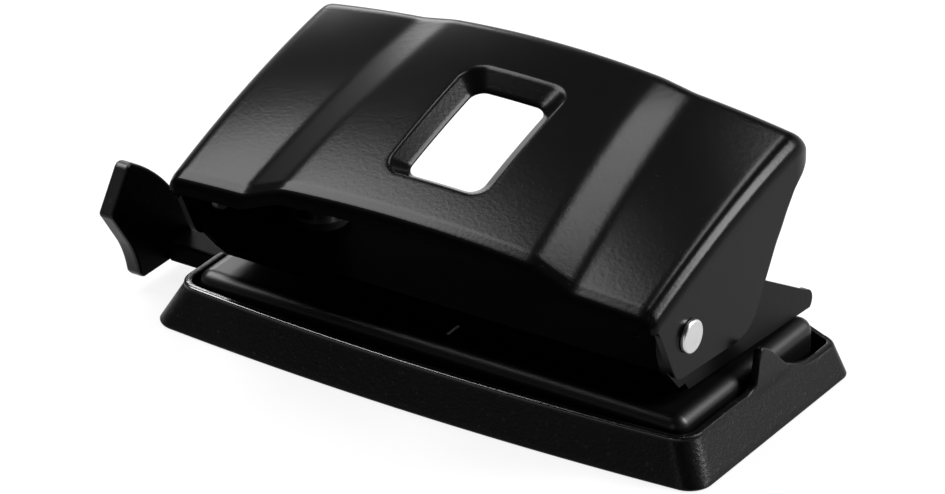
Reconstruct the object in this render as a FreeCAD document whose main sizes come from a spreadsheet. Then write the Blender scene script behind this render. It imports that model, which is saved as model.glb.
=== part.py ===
"""Hand-operated two-hole desk punch, as a parametric FreeCAD document.

+X runs along the punch to its right end, +Y to the rear where the lever is pressed, +Z up.
The origin is the centre of the tray's underside. Lengths are millimetres, angles degrees.
"""
import FreeCAD, Part
import math
import os
import re

import Sketcher

Vector = FreeCAD.Vector

doc = FreeCAD.newDocument("HolePunch")
sheet = doc.addObject("Spreadsheet::Sheet", "Sizes")

sizes = {
    # punching geometry
    "holePitch": 80.0,          # between the two holes
    "pinDiameter": 5.5,
    "paperMargin": 12.0,        # hole centre to the edge of the paper
    "pinRow": 3.0,              # Y of the two pins
    "pinTipHeight": 12.9,       # Z of a raised pin's cutting tip
    "pinHollow": 1.1,           # depth of the hollow ground across the tip
    "runningGap": 0.05,         # radial clearance of a shaft in its hole
    "seatGap": 0.3,             # clearance between pieces that only lie together
    # tray
    "trayOverhang": 7.1,        # from the lever's side to the tray's end
    "trayDepth": 52.0,
    "trayHeight": 8.3,
    "trayWall": 1.5,
    "trayFloor": 1.6,
    "trayBow": 2.2,             # how far the front wall bows out
    "trayEndLean": 3.7,         # how far each end wall leans in over its height
    "trayFrontLean": 2.6,
    "trayRearLean": 0.1,
    "trayRearWall": 1.2,
    "trayCorner": 5.0,
    "trayRearCorner": 3.0,
    "trayDip": 1.7,             # depth of the finger dip in each end wall
    "tabHeight": 15.3,          # Z of the top of the end tabs
    "tabFront": -0.2,           # Y of the tab's steep front edge
    "tabRun": 9.6,              # length of the tab at its foot
    "ledgeLength": 9.0,
    # lower frame
    "endRoom": 6.5,             # from the tray's end to the frame's end
    "frontGap": 1.0,            # between the tray's rim and the frame's long walls
    "rearGap": 0.5,
    "tableHeight": 10.3,        # Z of the paper table
    "frameSheet": 1.5,
    "frameBend": 2.2,           # outside radius of the turned-down edges
    "footHeight": 3.0,          # Z of the lower edge of the turned-down walls
    "dieClearance": 0.15,
    "markWidth": 0.5,
    "markLength": 12.5,
    # upper frame
    "slotHeight": 1.7,          # paper slot between table and bridge
    "mouthRise": 4.2,           # how far the front lip of the bridge turns up
    "earGap": 0.8,              # between ear and lever flange
    "earRear": 27.2,
    "frameRivet": 3.0,
    "frameRivetHead": 0.9,
    "rearTurnUp": 2.6,
    "earLug": 5.1,              # from the pivot to the ear's front edge
    "earTop": 8.1,              # from the pivot up to the stop at the ear's top
    # lever
    "sideRoom": 10.4,           # from a hole's centre to the lever's side
    "leverSheet": 1.2,
    "leverFront": -29.0,
    "leverRear": 19.3,
    "frontEdgeHeight": 33.7,    # Z of the lever's top at its front corners
    "rearEdgeHeight": 47.7,
    "frontCrown": 5.05,         # how far the middle stands over the corners
    "rearCrown": 5.75,
    "frontStep": 3.3,           # height of the slanted ribs' steps
    "rearStep": 1.25,
    "leverBulge": 1.4,          # rise of the top between its ends
    "ribFootFront": 33.8,       # X of the rib's outer line
    "ribFootRear": 28.2,
    "ribTopFront": 25.8,        # X of the rib's inner line
    "ribTopRear": 21.6,
    "shoulderRadius": 2.6,
    "frontLipRadius": 2.6,
    "rearLipRadius": 5.2,
    "lipDepth": 3.0,            # of the flange's front corner under the edge line
    "windowWidth": 15.0,
    "windowLength": 22.7,
    "windowDepth": 2.8,
    "windowFlare": 2.5,         # how far the drawn rim opens on each side
    "windowCentre": -6.3,
    "windowCorner": 2.2,
    "flangeLobe": 4.6,          # the flange's outline, measured from the pivot
    "flangeFront": 7.0,
    "flangeRear": 8.8,
    "flangeRun": 19.5,
    "flangeReach": 34.4,
    "flangeRise": 13.2,
    # lever pivot
    "pivotRow": -17.7,
    "pivotHeight": 25.5,
    "rivetShank": 4.0,
    "rivetHead": 6.2,
    "rivetHeadHeight": 1.1,
    # pin guides, springs and rings
    "guideFlange": 10.4,
    "guideSpigot": 8.0,
    "guideFlangeHeight": 1.5,
    "springWire": 0.8,
    "springDiameter": 7.8,      # to the middle of the wire
    "springTurns": 7.0,
    "springSections": 14.0,     # sections in each turn
    "springSides": 10.0,        # sides of each section
    "ringDrop": 4.33,         # from a pin's crown down to its groove
    "ringThickness": 0.8,
    "ringDiameter": 8.4,
    "grooveDepth": 0.5,
    "crownHeight": 0.8,
    "crownRise": 0.13,          # what the slope takes from the room over a pin's middle
    # paper guide
    "barFront": -9.0,
    "barRear": -1.5,
    "barFoot": 2.9,
    "barTop": 6.9,
    "barEnd": 41.0,
    "stopPlate": 3.2,
    "stopOffset": 65.3,         # from the middle to the stop's inner face
    "bracketSheet": 1.0,
    "bracketInset": 3.0,        # from the frame's left end to the strap
    "bracketLength": 14.0,
    "leafThickness": 0.3,
}
for row, (name, number) in enumerate(sizes.items(), start=1):
    sheet.set("A%d" % row, name)
    sheet.set("B%d" % row, str(number))
    sheet.setAlias("B%d" % row, name)
doc.recompute()


# places that follow from the sizes
derived = {
    "frameFront": "(-trayDepth / 2 + trayFrontLean + trayWall + frontGap)",
    "frameRear": "(trayDepth / 2 - trayRearLean - trayRearWall - rearGap)",
    "bracketStart": "(-frameLength / 2 + bracketInset)",
    "frameLength": "(trayLength - 2 * endRoom)",
    "trayLength": "(leverWidth + 2 * trayOverhang)",
    "leverWidth": "(holePitch + 2 * sideRoom)",
}


def formula(text):
    """An expression in size names, as a spreadsheet expression."""
    for name, meaning in derived.items():
        text = re.sub(r"\b%s\b" % name, lambda word: meaning, str(text))
    return re.sub(r"[A-Za-z]\w*", lambda word: "Sizes." + word.group(0)
                  if word.group(0) in sizes else word.group(0), str(text))


def value(text):
    """The number that an expression in size names stands for now."""
    return float(doc.Sizes.evalExpression(formula(text)))


def bind(target, field, text):
    target.setExpression(field, formula(text))


# sketches and features -------------------------------------------------------------------

def newBody(label):
    body = doc.addObject("PartDesign::Body", label)
    body.Label = label
    return body


def newSketch(body, plane, level="0"):
    """An empty sketch on one of the body's origin planes, moved along its normal."""
    sketch = body.newObject("Sketcher::SketchObject", "Sketch")
    support = [face for face in body.Origin.OriginFeatures if face.Role == plane][0]
    sketch.AttachmentSupport = [(support, "")]
    sketch.MapMode = "FlatFace"
    bind(sketch, "AttachmentOffset.Base.z", level)
    return sketch


def drawOutline(sketch, corners):
    """A closed outline, anticlockwise. Each corner is (x, y) or (x, y, radius), and a radius
    bends the edge that leaves the corner into an arc, outwards if it is above zero."""
    points = [Vector(value(corner[0]), value(corner[1]), 0) for corner in corners]
    starts, ends = [], []
    for i, corner in enumerate(corners):
        p = points[i]
        q = points[(i + 1) % len(points)]
        if len(corner) == 2:
            edge = sketch.addGeometry(Part.LineSegment(p, q))
            starts.append((edge, 1))
            ends.append((edge, 2))
            continue
        radius = value(corner[2])
        chord = q - p
        rise = abs(radius) - math.sqrt(max(radius ** 2 - (chord.Length / 2) ** 2, 0))
        side = Vector(chord.y, -chord.x, 0).normalize() * math.copysign(rise, radius)
        middle = (p + q) / 2 + side
        if radius > 0:
            edge = sketch.addGeometry(Part.Arc(p, middle, q))
            starts.append((edge, 1))
            ends.append((edge, 2))
        else:
            edge = sketch.addGeometry(Part.Arc(q, middle, p))
            starts.append((edge, 2))
            ends.append((edge, 1))
    for i, corner in enumerate(corners):
        following = (i + 1) % len(corners)
        sketch.addConstraint(Sketcher.Constraint("Coincident", *ends[i], *starts[following]))
        for kind, number in (("DistanceX", 0), ("DistanceY", 1)):
            place = points[i][number]
            rule = sketch.addConstraint(Sketcher.Constraint(kind, -1, 1, *starts[i], place))
            bind(sketch, "Constraints[%d]" % rule, corner[number])
        if len(corner) == 3:
            size = abs(value(corner[2]))
            rule = sketch.addConstraint(Sketcher.Constraint("Radius", starts[i][0], size))
            bind(sketch, "Constraints[%d]" % rule, "abs(%s)" % corner[2])
    return sketch


def drawCircle(sketch, x, y, radius):
    centre = Vector(value(x), value(y), 0)
    edge = sketch.addGeometry(Part.Circle(centre, Vector(0, 0, 1), value(radius)))
    for kind, number, text in (("DistanceX", centre.x, x), ("DistanceY", centre.y, y)):
        rule = sketch.addConstraint(Sketcher.Constraint(kind, -1, 1, edge, 3, number))
        bind(sketch, "Constraints[%d]" % rule, text)
    rule = sketch.addConstraint(Sketcher.Constraint("Radius", edge, value(radius)))
    bind(sketch, "Constraints[%d]" % rule, radius)
    return sketch


def rectangle(left, low, right, high):
    return [(left, low), (right, low), (right, high), (left, high)]


def between(body, kind, plane, corners, start, end):
    """A pad or pocket of an outline between two places along its plane's axis: X for
    YZ_Plane, Y for XZ_Plane and Z for XY_Plane. A circle is (x, y, radius) alone."""
    if plane == "XZ_Plane":
        level, forwards = "-(%s)" % start, False
    else:
        level, forwards = start, True
    sketch = newSketch(body, plane, level)
    if isinstance(corners, tuple):
        drawCircle(sketch, *corners)
    else:
        drawOutline(sketch, corners)
    feature = body.newObject("PartDesign::" + kind, kind)
    feature.Profile = sketch
    feature.Reversed = forwards == (kind == "Pocket")
    bind(feature, "Length", "(%s) - (%s)" % (end, start))
    return feature


def pad(body, plane, corners, start, end):
    return between(body, "Pad", plane, corners, start, end)


def pocket(body, plane, corners, start, end):
    return between(body, "Pocket", plane, corners, start, end)


def roundEdges(body, radius, chosen):
    """Round the edges of the body's last feature whose middle point passes the test."""
    doc.recompute()
    base = body.Tip
    names = []
    for i, edge in enumerate(base.Shape.Edges, start=1):
        if chosen(edge, edge.valueAt((edge.FirstParameter + edge.LastParameter) / 2)):
            names.append("Edge%d" % i)
    fillet = body.newObject("PartDesign::Fillet", "Fillet")
    fillet.Base = (base, names)
    bind(fillet, "Radius", radius)
    return fillet


def turned(label, corners, x="0", y="0", z="0", axis="Z"):
    """A turned piece: an outline in (radius, height) spun round its own axis."""
    body = newBody(label)
    sketch = drawOutline(newSketch(body, "XZ_Plane"), corners)
    spin = body.newObject("PartDesign::Revolution", "Spin")
    spin.Profile = sketch
    spin.ReferenceAxis = (sketch, ["V_Axis"])
    spin.Angle = 360
    place(body, x, y, z)
    if axis == "X":
        body.Placement.Rotation = FreeCAD.Rotation(Vector(0, 1, 0), 90)
    elif axis == "-X":
        body.Placement.Rotation = FreeCAD.Rotation(Vector(0, 1, 0), -90)
    return body


def place(body, x, y, z):
    for letter, text in zip("xyz", (x, y, z)):
        bind(body, "Placement.Base." + letter, text)


def near(a, b):
    return abs(a - b) < 0.01


# tray ------------------------------------------------------------------------------------

def trayOutline(endInset, frontInset, rearInset, corner, rearCorner):
    """A rounded rectangle whose front edge bows out, as seen from above."""
    right = "(trayLength / 2 - (%s))" % endInset
    front = "(-trayDepth / 2 + (%s))" % frontInset
    rear = "(trayDepth / 2 - (%s))" % rearInset
    half = "(%s - (%s))" % (right, corner)
    rearHalf = "(%s - (%s))" % (right, rearCorner)
    bowRadius = "((%s)^2 + trayBow^2) / (2 * trayBow)" % half
    return [
        ("-" + half, front, bowRadius),
        (half, front, corner),
        (right, "%s + %s" % (front, corner)),
        (right, "%s - %s" % (rear, rearCorner), rearCorner),
        (rearHalf, rear),
        ("-" + rearHalf, rear, rearCorner),
        ("-" + right, "%s - %s" % (rear, rearCorner)),
        ("-" + right, "%s + %s" % (front, corner), corner),
    ]


def loftBetween(body, kind, outlines):
    """A loft through (outline, level) pairs that stand over each other."""
    sketches = [drawOutline(newSketch(body, "XY_Plane", level), outline)
                for outline, level in outlines]
    loft = body.newObject("PartDesign::" + kind, kind)
    loft.Profile = sketches[0]
    loft.Sections = sketches[1:]
    loft.Ruled = True
    return loft


def chipTray():
    body = newBody("chip_tray")
    wall = "trayWall"
    lean = "(trayFloor / trayHeight)"       # share of the lean reached at the floor's top
    loftBetween(body, "AdditiveLoft", [
        (trayOutline("0", "0", "0", "trayCorner", "trayRearCorner"), "0"),
        (trayOutline("trayEndLean", "trayFrontLean", "trayRearLean", "trayCorner", "trayRearCorner"),
         "trayHeight"),
    ])
    inner = "(trayCorner - %s)" % wall
    rearInner = "(trayRearCorner - %s)" % wall
    loftBetween(body, "SubtractiveLoft", [
        (trayOutline("%s + trayEndLean * %s" % (wall, lean), "%s + trayFrontLean * %s" % (wall, lean),
                     "trayRearWall + trayRearLean * %s" % lean, inner, rearInner), "trayFloor"),
        (trayOutline("%s + trayEndLean" % wall, "%s + trayFrontLean" % wall,
                     "trayRearWall + trayRearLean", inner, rearInner), "trayHeight"),
    ])
    for side in ("-", ""):
        trayEnd(body, side)
    for side in ("-", ""):                  # ledges that carry the frame's walls
        middle = side + "frameLength * 0.3"
        for low, high in (("frameFront", "frameFront + 2 * frameSheet"),
                          ("frameRear - 2 * frameSheet", "frameRear")):
            pad(body, "XY_Plane", rectangle(middle + " - ledgeLength / 2", low,
                                            middle + " + ledgeLength / 2", high),
                "trayFloor", "footHeight")
    # notch in the left wall that the guide's bar runs through
    pocket(body, "YZ_Plane", rectangle("barFront - seatGap", "barFoot - seatGap",
                                       "barRear + seatGap", "trayHeight + 1"),
           "-trayLength / 2 - 1", "-frameLength / 2 - seatGap")
    return body


def trayEnd(body, side):
    """The wave of one end wall: a finger dip and a tab that stands over the rim."""
    outer = "(trayLength / 2 - trayEndLean)"
    start, end = outer + " - trayWall", outer
    cutStart, cutEnd = start + " - 1", "trayLength / 2"
    if side:
        start, end = "-" + outer, "-%s + trayWall" % outer
        cutStart, cutEnd = "-trayLength / 2", end + " + 1"
    dipFloor = "trayHeight - trayDip"
    pocket(body, "YZ_Plane", [
        ("tabFront + tabRun", dipFloor + " + 2", "14.6"), ("tabFront + 18.9", dipFloor + " - 0.7", "4"),
        ("tabFront + 21", "trayHeight + 0.1"), ("tabFront + 21", "trayHeight + 1"),
        ("tabFront + tabRun", "trayHeight + 1"),
    ], cutStart, cutEnd)
    pad(body, "YZ_Plane", [
        ("tabFront - 4", dipFloor + " - 1"),
        ("tabFront + tabRun", dipFloor + " - 1"),
        ("tabFront + tabRun", dipFloor + " + 2", "-30"),
        ("tabFront + 4.8", "tabHeight - 2", "5"),
        ("tabFront + 1.4", "tabHeight"),
        ("tabFront + 1", "tabHeight", "1"),
        ("tabFront", "tabHeight - 1"),
        ("tabFront", "trayHeight + 3.4", "-4"),
        ("tabFront - 4", "trayHeight - 0.4"),
    ], start, end)


# lower and upper frame -------------------------------------------------------------------

def baseFrame():
    body = newBody("base_frame")
    half = "frameLength / 2"
    pad(body, "YZ_Plane", rectangle("frameFront", "footHeight", "frameRear", "tableHeight"),
        "-" + half, half)
    top = value("tableHeight")
    roundEdges(body, "frameBend", lambda edge, middle: near(middle.z, top))
    inside = half + " - frameSheet"
    pocket(body, "XY_Plane", rectangle("-(%s)" % inside, "frameFront + frameSheet", inside,
                                       "frameRear - frameSheet"),
           "footHeight - 1", "tableHeight - frameSheet")
    under = value("tableHeight - frameSheet")
    roundEdges(body, "frameBend - frameSheet", lambda edge, middle: near(middle.z, under))
    # reliefs where the turned-down walls would meet at the corners
    relief = "frameSheet * 0.9"
    for side in ("-", ""):
        outer, inner = side + half, side + "(%s - %s)" % (half, relief)
        left, right = (outer + " - 1", inner) if side else (inner, outer + " + 1")
        for low, high in (("frameFront - 1", "frameFront + " + relief),
                          ("frameRear - " + relief, "frameRear + 1")):
            pocket(body, "XY_Plane", rectangle(left, low, right, high),
                   "footHeight - 1", "trayHeight + seatGap")
    # die holes and centre mark
    for side in ("-", ""):
        pocket(body, "XY_Plane", (side + "holePitch / 2", "pinRow", "pinDiameter / 2 + dieClearance"),
               "tableHeight - frameSheet - 1", "tableHeight + 1")
    for x, y in rivetPlaces():
        pocket(body, "XY_Plane", (x, y, "frameRivet / 2 + runningGap"),
               "tableHeight - frameSheet - 1", "tableHeight + 1")
    mark = "frameFront + frameBend + 2.5"
    pocket(body, "XY_Plane", rectangle("-markWidth / 2", mark, "markWidth / 2", mark + " + markLength"),
           "tableHeight - 0.2", "tableHeight + 1")
    # notch in the left wall for the guide's bar
    pocket(body, "YZ_Plane", rectangle("barFront - seatGap", "footHeight - 1",
                                       "barRear + seatGap", "barTop + seatGap"),
           "-%s - 1" % half, "-%s + frameSheet + frameBend" % half)
    return body


def upperFrame():
    body = newBody("upper_frame")
    sheetThickness = "frameSheet"
    low = "(tableHeight + slotHeight)"
    high = "(%s + %s)" % (low, sheetThickness)
    stop = "(pinRow + paperMargin)"
    land = "(tableHeight + %s)" % sheetThickness
    rear = "(frameRear - 0.2)"
    front = "(frameFront + 5.4)"
    inner = "(leverWidth / 2 - leverSheet - earGap - %s)" % sheetThickness
    outer = "(%s + %s)" % (inner, sheetThickness)
    # bridge: turned-up front lip, flat over the slot, step down to the table, turned-up rear
    pad(body, "YZ_Plane", [
        (front, low), (stop, low), (stop + " + 0.2", "tableHeight"), (rear, "tableHeight"),
        (rear, land + " + rearTurnUp"), ("%s - %s" % (rear, sheetThickness), land + " + rearTurnUp"),
        ("%s - %s" % (rear, sheetThickness), land), (stop + " + 2", land), (stop + " + 0.6", high),
        (front + " + 0.6", high), (front + " - mouthRise + 1.1", high + " + mouthRise - 0.5"),
        (front + " - mouthRise", low + " + mouthRise"),
    ], "-" + inner, inner)
    for side in ("-", ""):
        start, end = ("-" + outer, "-" + inner) if side else (inner, outer)
        pad(body, "YZ_Plane", earOutline(), start, end)
        pocket(body, "YZ_Plane", ("pivotRow", "pivotHeight", "rivetShank / 2 + runningGap"),
               start + " - 1", end + " + 1")
        pocket(body, "XY_Plane", (side + "holePitch / 2", "pinRow", "guideSpigot / 2 + runningGap"),
               low + " - 1", high + " + 1")
    for x, y in rivetPlaces():
        pocket(body, "XY_Plane", (x, y, "frameRivet / 2 + runningGap"), "tableHeight - 1", land + " + 1")
    return body


def earOutline():
    """One upright ear: a lug round the pivot at the front, a slope down to the rear."""
    bottom = "(tableHeight + slotHeight + frameSheet)"
    return [
        ("pivotRow + 3.2", bottom + " - 0.2"),
        ("earRear - 0.6", "tableHeight + 0.5", "2.3"),
        ("earRear - 2.5", "tableHeight + 4.2"),
        ("earRear - 16.3", "pivotHeight - 2.9"),
        ("pivotRow + 9", "pivotHeight + 5.5", "12"),
        ("pivotRow + 2", "pivotHeight + earTop"),
        ("pivotRow - earLug", "pivotHeight + earTop"),
        ("pivotRow - earLug", "pivotHeight - 2"),
        ("pivotRow - 3.8", "pivotHeight - 6.3"),
        ("pivotRow + 0.1", bottom + " + 1.2"),
        ("pivotRow + 2.1", bottom + " + 1.2"),
    ]


# lever -----------------------------------------------------------------------------------

def leverTop(y):
    """Corner points of half a cross-section of the lever's top at y, as (x, z, radius)."""
    share = (y - value("leverFront")) / value("leverRear - leverFront")
    bulge = value("leverBulge") * 4 * share * (1 - share)

    def blend(front, rear):
        return value(front) + (value(rear) - value(front)) * share

    edge = blend("frontEdgeHeight", "rearEdgeHeight") + bulge
    crown = edge + blend("frontCrown", "rearCrown")
    step = blend("frontStep", "rearStep")
    foot = blend("ribFootFront", "ribFootRear")
    head = blend("ribTopFront", "ribTopRear")
    # the panels beside and between the ribs share what the crown rises over the steps
    rise = crown - edge - step
    side = rise * blend("0.46", "0.62")
    return [
        (value("leverWidth / 2"), edge, value("shoulderRadius")),
        (foot, edge + side, 7.0),
        (head, edge + side + step, 7.0),
        (0.0, crown + 0.5, 200.0),
    ]


def roundedWire(points, y):
    """A closed wire at y through (x, z, radius) corners, each rounded by its radius."""
    def node(index):
        x, z, _ = points[index % len(points)]
        return Vector(x, y, z)

    edges, first, last = [], None, None
    for i, (_, _, radius) in enumerate(points):
        corner = node(i)
        before = (node(i - 1) - corner).normalize()
        after = (node(i + 1) - corner).normalize()
        half = before.getAngle(after) / 2
        start = end = corner
        if radius > 0:
            reach = radius / math.tan(half)
            start, end = corner + before * reach, corner + after * reach
        if last is not None:
            edges.append(Part.makeLine(last, start))
        else:
            first = start
        if radius > 0:
            centre = corner + (before + after).normalize() * (radius / math.sin(half))
            middle = centre + (corner - centre).normalize() * radius
            edges.append(Part.Arc(start, middle, end).toShape())
        last = end
    edges.append(Part.makeLine(last, first))
    return Part.Wire(edges)


def leverSection(y, at, drop, inset):
    """A cross-section of the lever at y, closed by a flat foot. Its heights are those of
    the top at `at`, lowered by drop, and its sides are moved in by inset."""
    half = leverTop(at)
    foot = value("tableHeight + slotHeight")
    points = []
    for x, z, radius in half:
        wide = x - inset if x == half[0][0] else x
        bend = radius - inset if x == half[0][0] else radius
        points.append((wide, z - drop, bend))
    mirrored = [(-x, z, radius) for x, z, radius in reversed(points[:-1])]
    width = points[0][0]
    return roundedWire([(width, foot, 0)] + points + mirrored + [(-width, foot, 0)], y)


def lipStations():
    """Stations along the lever as (y, drop, turn): the front lip, the top and the rear lip.
    The top turns down by `turn` radians at each lip."""
    front, rear = value("frontLipRadius"), value("rearLipRadius")
    frontStart = value("leverFront") + front * 0.55
    rearStart = value("leverRear") - rear * 0.36
    turns = [math.radians(angle) for angle in (78, 58, 39, 20)]
    stations = [(frontStart - front - 0.1, front + 1.0, math.radians(-86))]
    stations += [(frontStart - front * math.sin(a), front * (1 - math.cos(a)), -a) for a in turns]
    span = rearStart - frontStart
    stations += [(frontStart + span * part, 0.0, 0.0) for part in (0, 0.3, 0.65, 1)]
    stations += [(rearStart + rear * math.sin(a), rear * (1 - math.cos(a)), a)
                 for a in reversed(turns)]
    stations.append((rearStart + rear + 0.1, rear + 1.6, math.radians(86)))
    return stations


def windowPlace():
    """Placement with its origin at the window's middle and Z square to the lever's top."""
    y = value("windowCentre")
    slope = math.atan2(leverTop(y + 5)[3][1] - leverTop(y - 5)[3][1], 10)
    height = leverTop(y)[3][1] - 0.35
    return FreeCAD.Placement(Vector(0, y, height), FreeCAD.Rotation(Vector(1, 0, 0), math.degrees(slope)))


def windowBlock(grow, top, bottom, flareTop, flareBottom):
    """A tapered block round the window, between two depths from the lever's top."""
    levels = []
    for depth, flare in ((top, flareTop), (bottom, flareBottom)):
        x = value("windowWidth") / 2 + flare + grow
        y = value("windowLength") / 2 + flare + grow
        corners = [(x, y), (-x, y), (-x, -y), (x, -y)]
        bend = value("windowCorner") + grow * 0.5
        wire = roundedWire([(cx, cy, bend) for cx, cy in corners], 0)
        wire.rotate(Vector(0, 0, 0), Vector(1, 0, 0), -90)
        wire.translate(Vector(0, 0, -depth))
        levels.append(wire)
    block = Part.makeLoft(levels, True, True)
    block.Placement = windowPlace().multiply(block.Placement)
    return block


def lever():
    feature = doc.addObject("Part::Feature", "lever")
    feature.Label = "lever"
    thickness = value("leverSheet")
    stations = lipStations()
    outer = Part.makeLoft([leverSection(y, y, drop, 0) for y, drop, _ in stations], True, True)
    inner = Part.makeLoft([
        leverSection(y - thickness * math.sin(turn), y, drop + thickness * 1.05 * math.cos(turn), thickness)
        for y, drop, turn in stations
    ], True, True)
    # everything between the flanges that lies under the lower edges of the two lips
    first, last = stations[0], stations[-1]
    under = Part.makeLoft([
        leverSection(first[0] - 1, first[0], first[1], thickness),
        leverSection(last[0] + 1, last[0], last[1], thickness),
    ], True, True)
    shell = outer.cut(inner).cut(under)

    flare, depth = value("windowFlare"), value("windowDepth")
    rim = windowBlock(thickness, 0, depth, flare, 0)
    hollow = windowBlock(0, -4, depth + 4, flare * (1 + 4 / depth), -flare * 4 / depth)
    through = windowBlock(0, -4, depth + 4, 0, 0)
    shell = shell.fuse(rim).cut(hollow.common(windowBlock(6, -4, depth, flare, flare)))
    shell = shell.cut(through)

    shell = shell.common(flangeBlock())
    for side in (-1, 1):
        start = Vector(side * value("leverWidth / 2 + 1"), value("pivotRow"), value("pivotHeight"))
        hole = Part.makeCylinder(value("rivetShank / 2 + runningGap"), thickness + 3, start,
                                 Vector(-side, 0, 0))
        shell = shell.cut(hole)
    feature.Shape = shell.removeSplitter()
    return feature


def flangeBlock():
    """The lever's side outline, as a block across its whole width."""
    row, height = value("pivotRow"), value("pivotHeight")
    front, rear = value("leverFront"), value("leverRear")
    top = value("rearEdgeHeight + 3 * rearCrown")
    lip = value("lipDepth")
    corners = [
        (front - 2 * lip, value("frontEdgeHeight") - 1.5 * lip, 0),
        (front - 0.2, value("frontEdgeHeight") - lip, lip),
        (row - value("flangeLobe"), height - value("flangeFront"), 2.4),
        (row + value("flangeRun"), height - value("flangeRear"), 6),
        (row + value("flangeReach"), height + value("flangeRise"), 5),
        (rear + 4, height + value("flangeRise") + 4, 0),
        (rear + 4, top, 0),
        (front - 2 * lip, top, 0),
    ]
    wire = roundedWire([(y, z, radius) for y, z, radius in corners], 0)
    wire.rotate(Vector(0, 0, 0), Vector(0, 0, 1), 90)
    wire.translate(Vector(-value("leverWidth"), 0, 0))
    return Part.Face(wire).extrude(Vector(2 * value("leverWidth"), 0, 0))


def pivotRivet(side):
    """A rivet with a flat round head outside the flange and a clinched end inside the ear."""
    label = "left_pivot_rivet" if side < 0 else "right_pivot_rivet"
    face = "(leverWidth / 2 + 0.15)"
    inside = "(leverWidth / 2 - leverSheet - earGap - frameSheet)"
    shank, head = "rivetShank / 2", "rivetHead / 2"
    return turned(label, [
        ("0", inside + " - 0.9"), ("%s - 0.5" % head, inside + " - 0.9"), (head + " - 0.2", inside),
        (shank, inside), (shank, face), (head, face), (head, face + " + rivetHeadHeight - 0.3", "0.3"),
        (head + " - 0.3", face + " + rivetHeadHeight"), ("0", face + " + rivetHeadHeight"),
    ], "0", "pivotRow", "pivotHeight", "X" if side > 0 else "-X")


def pivotWasher(side):
    label = "left_pivot_washer" if side < 0 else "right_pivot_washer"
    start = "(leverWidth / 2 - leverSheet - earGap + 0.1)"
    end = "(%s + earGap - 0.3)" % start
    return turned(label, [
        ("rivetShank / 2 + runningGap", start), ("rivetHead / 2 + 0.5", start),
        ("rivetHead / 2 + 0.5", end), ("rivetShank / 2 + runningGap", end),
    ], "0", "pivotRow", "pivotHeight", "X" if side > 0 else "-X")


# punching units --------------------------------------------------------------------------

def pinTop():
    """Z of a raised pin's crown, just under the sloping lever."""
    x, y = value("holePitch / 2"), value("pinRow")
    (wide, edge, _), (foot, inner, _) = leverTop(y)[:2]
    share = (wide - x) / (wide - foot)
    return edge + (inner - edge) * share - value("leverSheet * 1.1 + seatGap + crownRise")


def punchPin(side, crown):
    name = "left" if side < 0 else "right"
    radius = "pinDiameter / 2"
    groove = "(%s - grooveDepth)" % radius
    body = turned(name + "_punch_pin", [
        ("0", "pinTipHeight"), (radius, "pinTipHeight"), (radius, "ringHeight"), (groove, "ringHeight"),
        (groove, "ringHeight + ringThickness"), (radius, "ringHeight + ringThickness"),
        (radius, crown + " - crownHeight", "((%s)^2 + crownHeight^2) / (2 * crownHeight)" % radius),
        ("0", crown),
    ], "%d * holePitch / 2" % side, "pinRow")
    hollow = "((%s - 0.25)^2 + pinHollow^2) / (2 * pinHollow)" % radius
    pocket(body, "XZ_Plane", ("0", "pinTipHeight + pinHollow - %s" % hollow, hollow), "-5", "5")
    return body


def springSeat(side):
    name = "left" if side < 0 else "right"
    bore = "pinDiameter / 2 + 2 * runningGap"
    top = "ringHeight"
    return turned(name + "_spring_seat", [
        (bore, top + " - 1.6"), ("springDiameter / 2 - springWire / 2 - 0.1", top + " - 1.6"),
        ("springDiameter / 2 - springWire / 2 - 0.1", top + " - 0.6"),
        ("ringDiameter / 2 + 0.5", top + " - 0.6"), ("ringDiameter / 2 + 0.5", top), (bore, top),
    ], "%d * holePitch / 2" % side, "pinRow")


def retainingRing(side):
    """An open ring that snaps into the pin's groove."""
    name = "left" if side < 0 else "right"
    bore = "pinDiameter / 2 - grooveDepth + runningGap"
    body = turned(name + "_retaining_ring", [
        (bore, "ringHeight"), ("ringDiameter / 2", "ringHeight"),
        ("ringDiameter / 2", "ringHeight + ringThickness"), (bore, "ringHeight + ringThickness"),
    ], "%d * holePitch / 2" % side, "pinRow")
    pocket(body, "XY_Plane", rectangle("-1.2", "0", "1.2", "ringDiameter"),
           "ringHeight - 1", "ringHeight + ringThickness + 1")
    return body


def pinGuide(side):
    """A flanged bush staked in the bridge, with a collar that centres the spring."""
    name = "left" if side < 0 else "right"
    seat = "(tableHeight + slotHeight + frameSheet)"
    bore = "pinDiameter / 2 + runningGap"
    collar = "springDiameter / 2 - springWire / 2 - 0.1"
    return turned(name + "_pin_guide", [
        (bore, seat + " - frameSheet + 0.1"), ("guideSpigot / 2", seat + " - frameSheet + 0.1"),
        ("guideSpigot / 2", seat), ("guideFlange / 2", seat), ("guideFlange / 2", seat + " + guideFlangeHeight"),
        (collar, seat + " + guideFlangeHeight"), (collar, seat + " + guideFlangeHeight + 1.6"),
        (bore, seat + " + guideFlangeHeight + 1.6"),
    ], "%d * holePitch / 2" % side, "pinRow")


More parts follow.
